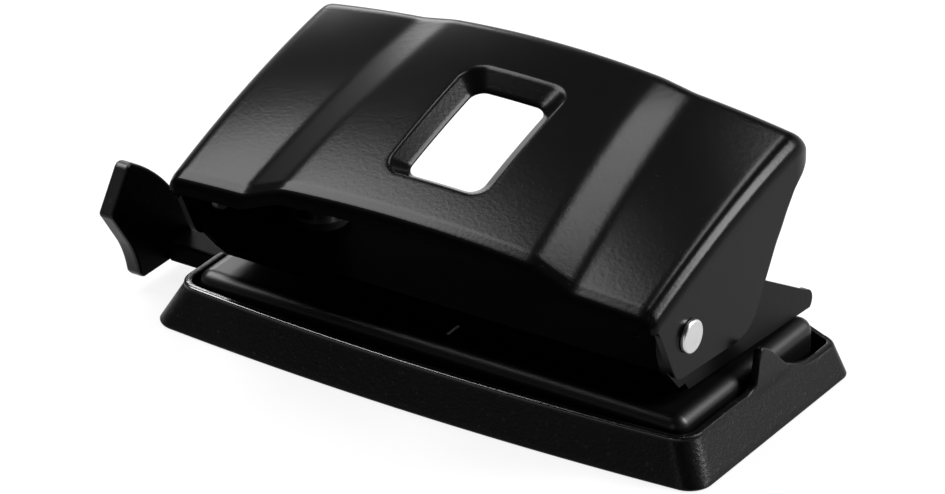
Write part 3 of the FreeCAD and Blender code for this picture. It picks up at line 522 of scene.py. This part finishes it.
def windowLoops(square, counts):
    # flat to the rim, a soft roll over it, then a straight slope, then a short upright edge
    rim, depth, roll = lever["windowRim"], lever["windowDepth"], lever["windowRoll"]
    edgeRoom, edgeStart, edgeHeight = lever["windowEdge"]
    loops = []

    def add(flat, sink):
        loops.append(np.column_stack([flat, leverHeight(flat[:, 0], flat[:, 1]) - sink]))

    outer = windowRing(counts, rim + roll)
    for t in np.linspace(0, 1, 7):
        add(square * (1 - t) + outer * t, 0)
    steep = math.atan2(depth - lever["slopeRoom"], rim)
    for angle in np.linspace(0, steep, 6)[1:]:
        grow = rim + roll - roll * math.sin(angle) / math.sin(steep) * lever["rollReach"]
        sink = roll * (1 - math.cos(angle)) / math.sin(steep)
        add(windowRing(counts, grow), sink)
    for t in np.linspace(0, 1, 6)[1:]:
        add(windowRing(counts, grow * (1 - t) + edgeRoom * t), sink + (depth - sink - edgeStart) * t)
    for t in np.linspace(0, 1, 4)[1:]:
        add(windowRing(counts, edgeRoom * (1 - t) ** 2), depth - edgeStart + edgeHeight * t)
    return np.stack(loops)


# the faces that take the lip's painted shade
def onLip(x, y, z):
    frontY, leftX, leftY = lever["lipShadeZone"]
    return y < frontY or (x < leftX and y < leftY)


buildPiece("leverShell", leverPiece(), "leverPaint", "lever", ["lever"],
           thickness=lever["sheet"], bevel=lever["softEdge"], angle=50, also=("lipPaintedShade", onLip))
print("lever ready")


# the chip tray: one closed skin of loops, from the underside up the wall, over the rim and inside

tray = {
    "length": 115.0, "depth": 52.0, "height": 8.3, "wall": 1.5, "rearWall": 1.2, "floor": 1.6, "bow": 2.2,
    "endLean": 3.7, "frontLean": 2.6, "rearLean": 0.1, "corner": 4.6, "rearCorner": 3.0, "crease": 7.5,
    "footRound": 0.6, "rimRound": 0.42, "floorRound": 0.35,
    "notch": (-9.3, -1.2, 2.6),             # Y from and to, and height left, of the gap for the guide's bar
    "fixedRows": (-15, 18),                 # between these Y the end walls' rows stay where they are
    "lowCorner": (20.5, [45, 47, 50, 52], [8.3, 7.9, 6.3, 5.9]),    # behind this Y, the rim's height by X
    "ledges": (30.6, 4.5, (-20.9, 21.2), 3.0, 3.0),                 # X, half length, both Y, depth, top
    "rimHighlightZone": (52, 20),                  # painted highlight along the rim's top edge: within this X and beyond this Y
}
# the rim of the end walls in Y and Z: level, a steep tab, and a long run down to the rear
endLine = [(-30, 8.3), (-10.3, 8.3), (-6.0, 8.25), (-3.4, 8.1), (-1.6, 8.5), (-0.6, 9.3), (-0.1, 11.0),
           (0.25, 14.0), (0.6, 15.0), (1.4, 15.3), (2.3, 14.9), (4.3, 13.5), (6.6, 11.3), (9.4, 8.6),
           (12.8, 6.9), (15.9, 6.15), (18.7, 5.9), (40, 5.9)]
gapFrom, gapTo, gapTop = tray["notch"]
# rows of points along an end wall: the notch's upright sides need two each, and the tab many
endRows = np.concatenate([spread([-20.9, gapFrom - 0.02, gapFrom, gapTo, gapTo + 0.02, -0.7], 0.9)[:-1],
                          np.linspace(-0.7, 1.6, 24)[:-1], spread([1.6, 23.0], 0.75)])


def trayLoop(inset, lean):
    # plan of one loop round the tray: inset from the outer wall, leaning in by `lean` of the full lean
    hx = tray["length"] / 2 - tray["endLean"] * lean - inset
    front = -tray["depth"] / 2 + tray["frontLean"] * lean + inset
    rear = tray["depth"] / 2 - tray["rearLean"] * lean - inset * tray["rearWall"] / tray["wall"]
    c, d = max(tray["corner"] - inset, 0.6), max(tray["rearCorner"] - inset, 0.5)
    q = np.linspace(0, pi / 2, 11)[1:-1]
    s = np.linspace(-1, 1, 61)
    # front edge: a shallow arc that stands out by the bow in the middle
    xs = [s * (hx - c)]
    ys = [front - tray["bow"] * (1 - s ** 2)]
    # the end walls' rows, with the first and last ones pulled in between the two corners
    first, last = tray["fixedRows"]
    ey = np.interp(endRows, [endRows[0], first, last, endRows[-1]], [front + c, first, last, rear - d])
    xs += [hx - c + c * np.sin(q), np.full_like(ey, hx), hx - d + d * np.cos(q)]
    ys += [front + c - c * np.cos(q), ey, rear - d + d * np.sin(q)]
    xs.append(np.linspace(hx - d, -hx + d, 31))
    ys.append(np.full(31, rear))
    xs += [-hx + d - d * np.sin(q), np.full_like(ey, -hx), -hx + c - c * np.cos(q)]
    ys += [rear - d + d * np.cos(q), ey[::-1], front + c - c * np.sin(q)]
    return np.concatenate(xs), np.concatenate(ys)


def trayRim(x, y):
    # height of the rim: level, but for the line of each end wall, low rear corners and the left notch
    atEnd = np.abs(x) > tray["length"] / 2 - tray["endLean"] - 0.01
    rim = np.where(atEnd, smoothCurve(y, endLine, 0.3), tray["height"])
    behind, cornerX, cornerZ = tray["lowCorner"]
    rim = np.where(y > behind, np.minimum(rim, np.interp(np.abs(x), cornerX, cornerZ)), rim)
    return np.where((x < 0) & atEnd & (y > gapFrom - 0.01) & (y < gapTo + 0.01), gapTop, rim)


def trayPiece():
    x, y = trayLoop(0, 1)
    rim = trayRim(x, y)
    crease = np.minimum(tray["crease"], rim - 0.8)
    wall, floor = tray["wall"], tray["floor"]
    r, edge, inner = tray["footRound"], tray["rimRound"], tray["floorRound"]
    low, loops = np.zeros_like(x), []

    def add(inset, height):
        # the wall leans in up to the crease and stands upright above it
        t = np.clip((height - r) / (tray["crease"] - r), 0, 1)
        a, b = trayLoop(inset, 0), trayLoop(inset, 1)
        loops.append(np.stack([a[0] + (b[0] - a[0]) * t, a[1] + (b[1] - a[1]) * t, height], -1))

    add(6.0, low)
    for a in np.radians([0, 18, 36, 54, 72, 90]):
        add(r * (1 - math.sin(a)), low + r * (1 - math.cos(a)))
    for t in np.linspace(0, 1, 8)[1:]:
        add(0, r + (crease - r) * t)
    for t in np.linspace(0, 1, 5)[1:]:
        add(0, crease + (rim - edge - crease) * t)
    for a in np.radians([22, 45, 68, 90]):
        add(edge * (1 - math.cos(a)), rim - edge + edge * math.sin(a))
    add(wall * 0.5, rim)
    for a in np.radians([90, 60, 30, 0]):
        add(wall - edge + edge * math.cos(a), rim - edge + edge * math.sin(a))
    add(wall, np.maximum(crease, floor + 0.4))
    for a in np.radians([0, 30, 60, 90]):
        add(wall + inner * (1 - math.cos(a)), low + floor + inner * (1 - math.sin(a)))
    add(8.0, low + floor)
    parts = [patch(np.stack(loops), closed=True), capRing(loops[0]), capRing(loops[-1])]
    # four ledges inside that carry the frame's long walls
    ledgeX, half, rows, deep, top = tray["ledges"]
    for middle in (-ledgeX, ledgeX):
        for row in rows:
            parts += block((middle - half, row, floor - 0.3), (middle + half, row + deep, top))
    return parts


# the faces along the rim's top edge that take the painted highlight
def onRim(x, y, z):
    within, beyond = tray["rimHighlightZone"]
    return abs(z - tray["height"]) < tray["rimRound"] and abs(x) < within and abs(y) > beyond


buildPiece("trayShell", trayPiece(), "trayPlastic", "tray", ["chip_tray"], angle=40,
           outward=(0, -1, 0), also=("trayRimHighlight", onRim))
print("tray ready")


# the lower frame: a table of folded sheet with soft bends, two dies, four rivet holes and a centre mark

rivetPlace = {"x": (12.24, 34.68), "y": 19.45, "hole": 1.55}        # the rivets that close the frame
table = {
    "half": 51.0, "front": -20.9, "rear": 24.2, "top": 10.3, "foot": 3.0, "sheet": 1.5,
    "bend": 2.5, "corner": 2.6, "pitch": 1.6,
    "die": (40.0, 3.0, 2.9), "dieRoom": 4.6, "rivetRoom": 2.3,      # room is the grid left open round a hole
    "mark": (-16.2, -3.7, 0.25, 0.22), "markWall": 0.08,            # Y from and to, half its width, depth
    "notch": (-9.3, -1.2, 7.2),             # Y from and to, and top, of the gap for the guide's bar
}


def tablePiece():
    t = table
    gx, front, rear = t["half"] - t["corner"], t["front"] + t["corner"], t["rear"] - t["corner"]
    (dieX, dieY, dieRadius), dieRoom, rivetRoom = t["die"], t["dieRoom"], t["rivetRoom"]
    (markFront, markRear, markHalf, markDepth), step = t["mark"], t["markWall"]
    start, end, clear = t["notch"]
    marks = [-gx, gx, -markHalf - step, -markHalf, markHalf, markHalf + step]
    for x, room in [(dieX, dieRoom)] + [(x, rivetRoom) for x in rivetPlace["x"]]:
        marks += [-x - room, -x + room, x - room, x + room]
    xs = spread(marks, t["pitch"])
    ys = spread([front, markFront - step, markFront, start, markRear, markRear + step, dieY - dieRoom, end,
                 dieY + dieRoom, rivetPlace["y"] - rivetRoom, rear], t["pitch"])
    x, y = np.meshgrid(xs, ys)
    inMark = (np.abs(x) < markHalf + 0.01) & (y > markFront - 0.01) & (y < markRear + 0.01)
    holes = [(side * dieX, dieY, dieRadius, t["top"], dieRoom) for side in (-1, 1)]
    holes += [(side * x0, rivetPlace["y"], rivetPlace["hole"], t["top"], rivetRoom)
              for side in (-1, 1) for x0 in rivetPlace["x"]]
    patches = holedSheet(xs, ys, np.stack([x, y, t["top"] - markDepth * inMark], -1), holes)
    # rings round the flat: every point moves out along its own direction, and the corners fan out
    fan = np.linspace(0, pi / 2, 9)[:, None]

    def corner(px, py, turn):
        angle = fan + turn
        return np.concatenate([np.full_like(fan, px), np.full_like(fan, py), np.cos(angle), np.sin(angle)], 1)

    def run(px, py, nx, ny):
        return np.stack(np.broadcast_arrays(px, py, nx, ny), -1)[1:-1]

    ring = np.concatenate([run(xs, front, 0.0, -1.0), corner(gx, front, -pi / 2), run(gx, ys, 1.0, 0.0),
                           corner(gx, rear, 0), run(xs[::-1], rear, 0.0, 1.0), corner(-gx, rear, pi / 2),
                           run(-gx, ys[::-1], -1.0, 0.0), corner(-gx, front, pi)])
    # how far out each ring stands, and its height
    bend = np.radians(np.linspace(0, 90, 10))
    outs = np.concatenate([[0], t["corner"] - t["bend"] + t["bend"] * np.sin(bend), np.full(5, t["corner"])])
    downs = np.concatenate([[t["top"]], t["top"] - t["bend"] * (1 - np.cos(bend)),
                            [clear + 0.4, clear, 6.0, 4.5, t["foot"]]])
    loops = np.dstack([ring[None, :, 0] + outs[:, None] * ring[None, :, 2],
                       ring[None, :, 1] + outs[:, None] * ring[None, :, 3],
                       np.broadcast_to(downs[:, None], (len(downs), len(ring)))])
    following = np.roll(ring, -1, axis=0)
    middle = (ring[:, 1] + following[:, 1]) / 2
    gap = np.zeros((len(outs) - 1, len(ring)), dtype=bool)
    gap[-3:] = (ring[:, 2] < -0.99) & (following[:, 2] < -0.99) & (middle > start) & (middle < end)
    points, faces = patch(loops, closed=True, skip=gap)
    # the first rings lie almost flat, so they tell which way the whole wall faces
    flat = patch(loops[:3], closed=True)
    if facing(flat, (0, 0, 1))[1] != flat[1]:
        faces = [face[::-1] for face in faces]
    return patches + [(points, faces)]


def inGroove(x, y, z):
    front, rear, half, depth = table["mark"]
    return abs(x) < half + table["markWall"] and front - 0.1 < y < rear + 0.1 and z > table["top"] - 0.4


buildPiece("tableShell", tablePiece(), "framePaint", "frame", ["base_frame"],
           thickness=table["sheet"], angle=50, outward=None, also=("scribedMark", inGroove))
print("table ready")


# the bridge: one sheet with a turned-up mouth, bush holes and a turned-up rear, and its two ears

bridge = {
    "half": 46.9, "ear": 48.4, "sheet": 1.5, "low": 12.0, "softEdge": 0.35, "pitch": 1.7,
    "front": -14.9, "mouth": 3.9, "stop": 15.6, "step": 1.4, "rear": 22.5, "turnUp": 1.7,
    "bends": [0, 2.2, 1.0, 1.2, 0.8, 0],    # radius of each bend, front to rear
    "bush": (40.0, 3.0, 4.05), "bushRoom": 5.2, "rivetRoom": 2.2,
    "flat": (-14.0, 14.2),                  # Y of the level run that the bushes stand in
    "earFinish": 47.5,                      # beyond this X the right ear takes the lit copy of the paint; the rest, the left ear too, keeps the painted shade
}
# an ear's outline in Y and Z, with the radius of the edges that are arcs
earLine = [(-14.5, 13.0), (26.2, 10.45, 2.25), (24.95, 14.4), (10.9, 22.6), (-8.7, 31.0, 12), (-15.7, 33.6),
           (-22.8, 33.6), (-22.8, 23.5), (-21.5, 19.2), (-17.6, 14.7), (-15.6, 14.7)]


def bridgePiece():
    b = bridge
    top, land = b["low"] + b["sheet"], table["top"] + b["sheet"]
    (bushX, bushY, bushRadius), bushRoom = b["bush"], b["bushRoom"]
    rivetY, rivetRoom = rivetPlace["y"], b["rivetRoom"]
    # the sheet's upper side, front to rear, with the bends as arcs
    line = roundedLoop([(b["front"] - b["mouth"], top + b["mouth"]), (b["front"], top), (b["stop"], top),
                        (b["stop"] + b["step"], land), (b["rear"], land), (b["rear"], land + b["turnUp"])],
                       b["bends"])
    marks = [-b["half"], b["half"], -bushX - bushRoom, -bushX + bushRoom, bushX - bushRoom, bushX + bushRoom]
    for x in rivetPlace["x"]:
        marks += [-x - rivetRoom, -x + rivetRoom, x - rivetRoom, x + rivetRoom]
    xs = spread(marks, b["pitch"])
    # more rows where the holes are
    first, last = b["flat"]
    rows = np.concatenate([spread([first, bushY - bushRoom, bushY + bushRoom, last], b["pitch"]),
                           spread([rivetY - rivetRoom, rivetY + rivetRoom], 1.1)])
    heights = np.where(rows < b["stop"], top, land)
    y = line[:, 0]
    nearHoles = ((y > first) & (y < last)) | (abs(y - rivetY) < rivetRoom + 0.1)
    line = np.concatenate([line[~nearHoles], np.stack([rows, heights], -1)])
    # front to rear, and upwards where the sheet stands upright
    line = line[np.argsort(line[:, 0] + 0.002 * line[:, 1], kind="stable")]
    ys = line[:, 0]
    shape = (len(ys), len(xs))
    points = np.stack([np.broadcast_to(xs, shape), np.broadcast_to(ys[:, None], shape),
                       np.broadcast_to(line[:, 1:], shape)], -1)
    holes = [(side * bushX, bushY, bushRadius, top, bushRoom) for side in (-1, 1)]
    holes += [(side * x0, rivetY, rivetPlace["hole"], land, rivetRoom)
              for side in (-1, 1) for x0 in rivetPlace["x"]]
    patches = holedSheet(xs, ys, points, holes)
    # the ears' outer faces; the wall is added inwards
    ear = arcOutline(earLine)
    for side in (-1, 1):
        patches.append(facing(capRing(np.insert(ear, 0, side * b["ear"], axis=1)), (side, 0, 0)))
    return patches


# the right ear's faces, which take the lit copy of the bridge's paint instead of its painted shade
def onRightEar(x, y, z):
    return x > bridge["earFinish"]


buildPiece("bridgeShell", bridgePiece(), "bridgeShadedPaint", "frame", ["upper_frame"],
           thickness=bridge["sheet"], bevel=bridge["softEdge"], segments=3, angle=50, outward=None,
           also=("earLitPaint", onRightEar))
print("bridge ready")


# the paper guide: a moulded stop plate on a square bar

guide = {
    "plate": (-68.5, -65.3),                # X of the stop plate's outer and inner side
    "bar": ((-65.4, -9.0, 2.9), (41.0, -1.5, 6.9)),     # its low and high corner
    "softEdge": 0.6, "plateFinish": -65.35,             # beyond this X
}
# the stop plate's outline in Y and Z, with the radius of the edges that are arcs
guideLine = [(-17.8, 4.1), (-16.6, 2.9), (-1.5, 2.9), (-1.5, 9.9, 12), (-7.0, 16.9, 40), (-18.2, 26.7, 1.7),
             (-20.7, 26.0), (-25.1, 19.7, 1.0), (-25.1, 18.2), (-20.6, 11.5, -22)]


def onPlate(x, y, z):
    return x < guide["plateFinish"]


guideParts = prism(arcOutline(guideLine), *guide["plate"]) + block(*guide["bar"])
buildPiece("guideBody", guideParts, "guideShade", "guide", ["paper_guide"],
           bevel=guide["softEdge"], segments=4, angle=30, outward=(-1, 0, 0), also=("guidePlastic", onPlate))
print("guide ready")


# the rivets: two low domes that the lever turns on, and four that close the frame

pivot = {
    "place": (0, -17.7, 25.5), "radius": 3.1, "face": 50.55, "height": 0.85, "dome": 0.12, "round": 0.45,
    "shank": 2.0, "end": 46.9,              # radius of the shank, and X where the clinched end starts
    "clinch": (2.9, 2.6, 0.9),              # radius at its start and end, and its length
    "headShadeEdge": 50.52,                    # beyond this X the head keeps plated steel; nearer the middle, shank and clinched end take the darkened steel, painted shade
}
frameRivet = {
    "radius": 2.1, "seat": 11.8, "dome": 0.9, "shank": 1.5,
    "clinch": (1.95, 8.8, 7.9),             # radius, and Z from and to, of the clinched end
}


def pivotProfile():
    # a low domed head with a rolled edge, its shank and the clinched end inside
    radius, face, r, end = pivot["radius"], pivot["face"], pivot["round"], pivot["end"]
    crown, (wide, narrow, length) = face + pivot["height"], pivot["clinch"]
    head = [((radius - r) * k, crown - pivot["dome"] * k ** 2) for k in (0, 0.25, 0.5, 0.75)]
    head += [(radius - r + r * math.cos(t), crown - r + r * math.sin(t))
             for t in np.radians(np.linspace(90, 8, 9))]
    return head + [(radius, face), (pivot["shank"], face), (pivot["shank"], end), (wide, end),
                   (narrow, end - length), (0.0, end - length)]


# the rivet's outer head, which keeps plated steel; the rest of the rivet is painted shade
def onHead(x, y, z):
    return abs(x) > pivot["headShadeEdge"]


for title, axis in (("right", "x"), ("left", "-x")):
    buildPiece(title + "Rivet", [lathe(pivotProfile(), pivot["place"], axis, 48)], "shadedBushSteel", "frame",
               [title + "_pivot_rivet"], angle=30, also=("platedSteel", onHead))


def frameRivetProfile():
    # a domed head, its shank and a flat clinched end
    f = frameRivet
    radius, low, end = f["clinch"]
    dome = [(f["radius"] * math.sin(t), f["seat"] + f["dome"] * math.cos(t))
            for t in np.radians([0, 20, 40, 60, 80, 90])]
    return dome + [(f["shank"], f["seat"]), (f["shank"], low), (radius, low), (radius, end), (0.0, end)]


heads = [lathe(frameRivetProfile(), (side * x, rivetPlace["y"], 0), "z", 32)
         for side in (-1, 1) for x in rivetPlace["x"][::side]]
buildPiece("tableRivets", heads, "platedSteel", "frame", ["frame_rivets"], angle=40)
print("rivets ready")


# the return springs: a round wire along a helix, with closed ends

coil = {"place": (40.0, 3.0), "radius": 3.9, "wire": 0.4, "turns": 7.0, "travel": 5.8,
        "stepsPerTurn": 40, "wireSides": 14}


def coilPiece(centre, low, high):
    radius, wire, turns = coil["radius"], coil["wire"], coil["turns"]
    t = np.linspace(0, 2 * pi * turns, int(turns * coil["stepsPerTurn"]) + 1)[:, None]
    rise = (high - low) / (2 * pi * turns)
    a = np.linspace(0, 2 * pi, coil["wireSides"], endpoint=False)
    length = math.hypot(radius, rise)
    out, up = wire * np.cos(a), wire * np.sin(a)
    # across the wire: straight out from the axis, and square to the helix
    x = (radius + out) * np.cos(t) + up * rise / length * np.sin(t)
    y = (radius + out) * np.sin(t) - up * rise / length * np.cos(t)
    z = low + rise * t + up * radius / length
    grid = np.stack([x + centre[0], y + centre[1], z], -1)
    return [patch(grid, closed=True), capRing(grid[0]), capRing(grid[-1])]


for title, side in (("left", -1), ("right", 1)):
    x, y = side * coil["place"][0], coil["place"][1]
    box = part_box(title + "_return_spring")
    low, high = box[0][2] / mm + coil["wire"], box[1][2] / mm - coil["wire"]
    spring = buildPiece(title + "Coil", coilPiece((x, y), low, high), "shadedSpringSteel", "frame",
                        [title + "_return_spring"], angle=60)
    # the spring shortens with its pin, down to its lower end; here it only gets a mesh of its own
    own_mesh(spring)

# finishes of the parts that are shown as they are
finishOf = {
    # the darkened steels of the bushes, springs, rings and punch pins are painted shade
    "guide_bracket": "zincStrap", "guide_spring": "shadedSpringSteel", "pivot_washer": "darkPlastic",
    "punch_pin": "shadedGroundSteel", "spring_seat": "palePlastic", "retaining_ring": "shadedSpringSteel",
    "pin_guide": "shadedBushSteel",
}
for title, node in nodes.items():
    for key, look in finishOf.items():
        if title == key or title.endswith("_" + key):
            node.data.materials.clear()
            node.data.materials.append(looks[look])
print("small parts ready")


# studio

shot = {"azimuth": 33.5788, "elevation": 27.8356, "roll": -0.5008, "lens": 6397.83 / 945 * 36,
        "slide": (-4.606, 17.972), "distance": 1134.79}        # degrees and millimetres
backdrop = {
    "floorColour": (0.05, 0.05, 0.05, 1), "floorGlow": 0.86, "softLight": 0.06, "dim": 0.06,
    "height": (0.38, 0.62), "behind": (0.3, 0.55),      # where it fades, in Z and Y of the way looked
}
lamps = {
    # towards, the way its second size runs, distance, sizes, watts
    "key": ((-0.6, -0.06, 0.8), (-0.75, 0.35, -0.52), 1.3, 0.84, 0.58, 37),
    "topStrip": ((-0.01, 0.37, 0.93), (-0.24, 0.28, 0), 1.3, 0.16, 0.66, 9.5),
    "rearRight": ((0.7, 0.46, 0.55), (0.52, 0.39, 0.76), 1.2, 0.34, 0.66, 34),
    "rearLeft": ((-0.65, 0.67, 0.36), (0, 0, 1), 1.2, 0.3, 0.3, 3),
    "frontLow": ((-0.01, -0.98, 0.22), (0, 0, 1), 1.2, 0.16, 0.4, 1.1),
}


def placeCamera():
    az, el, roll = (math.radians(shot[key]) for key in ("azimuth", "elevation", "roll"))
    back = Vector((math.sin(az) * math.cos(el), -math.cos(az) * math.cos(el), math.sin(el)))
    right = Vector((math.cos(az), math.sin(az), 0))
    up = back.cross(right)
    rolledRight = math.cos(roll) * right + math.sin(roll) * up
    rolledUp = -math.sin(roll) * right + math.cos(roll) * up
    eye = (rolledRight * shot["slide"][0] + rolledUp * shot["slide"][1] + back * shot["distance"]) * mm
    turn = Matrix((rolledRight, rolledUp, back)).transposed().to_4x4()
    lens = bpy.data.cameras.new("camera")
    lens.lens = shot["lens"]
    lens.sensor_width = 36
    lens.clip_start = 0.05
    lens.clip_end = 60
    camera = bpy.data.objects.new("camera", lens)
    bpy.context.scene.collection.objects.link(camera)
    camera.matrix_world = Matrix.Translation(eye) @ turn
    bpy.context.scene.camera = camera


def seenRays(tree):
    # one where the ray comes from the camera, a reflection or a refraction
    path = addNode(tree, "LightPath")
    first = addNode(tree, "Math", operation="MAXIMUM",
                    links=[(0, path.outputs["Is Camera Ray"]), (1, path.outputs["Is Glossy Ray"])])
    return addNode(tree, "Math", operation="MAXIMUM",
                   links=[(0, first.outputs[0]), (1, path.outputs["Is Transmission Ray"])])


def makeFloor():
    size = 12.0
    floor = bpy.data.meshes.new("floor")
    floor.from_pydata([(-size, -size, 0), (size, -size, 0), (size, size, 0), (-size, size, 0)], [],
                      [(0, 1, 2, 3)])
    piece = bpy.data.objects.new("floor", floor)
    bpy.context.scene.collection.objects.link(piece)
    material = bpy.data.materials.new("paleFloor")
    material.use_nodes = True
    tree = material.node_tree
    shader = tree.nodes["Principled BSDF"]
    shader.inputs["Base Color"].default_value = backdrop["floorColour"]
    shader.inputs["Roughness"].default_value = 0.9
    glow = addNode(tree, "Emission", in_Color=(1, 1, 1, 1))
    strength = addNode(tree, "Math", operation="MULTIPLY", links=[(0, seenRays(tree).outputs[0])])
    strength.inputs[1].default_value = backdrop["floorGlow"]
    tree.links.new(strength.outputs[0], glow.inputs["Strength"])
    both = addNode(tree, "AddShader", links=[(0, shader.outputs[0]), (1, glow.outputs[0])])
    tree.links.new(both.outputs[0], tree.nodes["Material Output"].inputs["Surface"])
    floor.materials.append(material)


def makeWorld():
    # soft even light, and for what is seen or mirrored a pale backdrop behind that fades to a dim room
    world = bpy.data.worlds.new("studio")
    bpy.context.scene.world = world
    world.use_nodes = True
    tree = world.node_tree
    soft = tree.nodes["Background"]
    soft.inputs["Color"].default_value = (1, 1, 1, 1)
    soft.inputs["Strength"].default_value = backdrop["softLight"]
    place = addNode(tree, "TexCoord")
    parts = addNode(tree, "SeparateXYZ", links=[(0, place.outputs["Generated"])])
    (low, high), (near, far), dim = backdrop["height"], backdrop["behind"], backdrop["dim"]
    height = addNode(tree, "MapRange", in_From_Min=low, in_From_Max=high, in_To_Min=1.0, in_To_Max=dim,
                     interpolation_type="SMOOTHSTEP", links=[("Value", parts.outputs["Z"])])
    behind = addNode(tree, "MapRange", in_From_Min=near, in_From_Max=far, in_To_Min=dim, in_To_Max=1.0,
                     interpolation_type="SMOOTHSTEP", links=[("Value", parts.outputs["Y"])])
    level = addNode(tree, "Math", operation="MULTIPLY", links=[(0, height.outputs[0]), (1, behind.outputs[0])])
    sweep = addNode(tree, "Background", in_Color=(1, 1, 1, 1), links=[("Strength", level.outputs[0])])
    mixed = addNode(tree, "MixShader",
                    links=[(0, seenRays(tree).outputs[0]), (1, soft.outputs[0]), (2, sweep.outputs[0])])
    tree.links.new(mixed.outputs[0], tree.nodes["World Output"].inputs["Surface"])


def placeLamps():
    for name, (towards, along, distance, width, depth, watts) in lamps.items():
        lamp = bpy.data.lights.new(name, "AREA")
        lamp.shape = "RECTANGLE"
        lamp.size, lamp.size_y = width, depth
        lamp.energy = watts
        holder = bpy.data.objects.new(name, lamp)
        bpy.context.scene.collection.objects.link(holder)
        way = Vector(towards).normalized()
        second = (Vector(along) - Vector(along).dot(way) * way).normalized()
        turn = Matrix((second.cross(way), second, way)).transposed().to_4x4()
        holder.matrix_world = Matrix.Translation(way * distance + Vector((0, 0, 0.03))) @ turn


placeCamera()
makeFloor()
makeWorld()
placeLamps()
bpy.context.scene.view_settings.view_transform = "Standard"
print("studio ready")
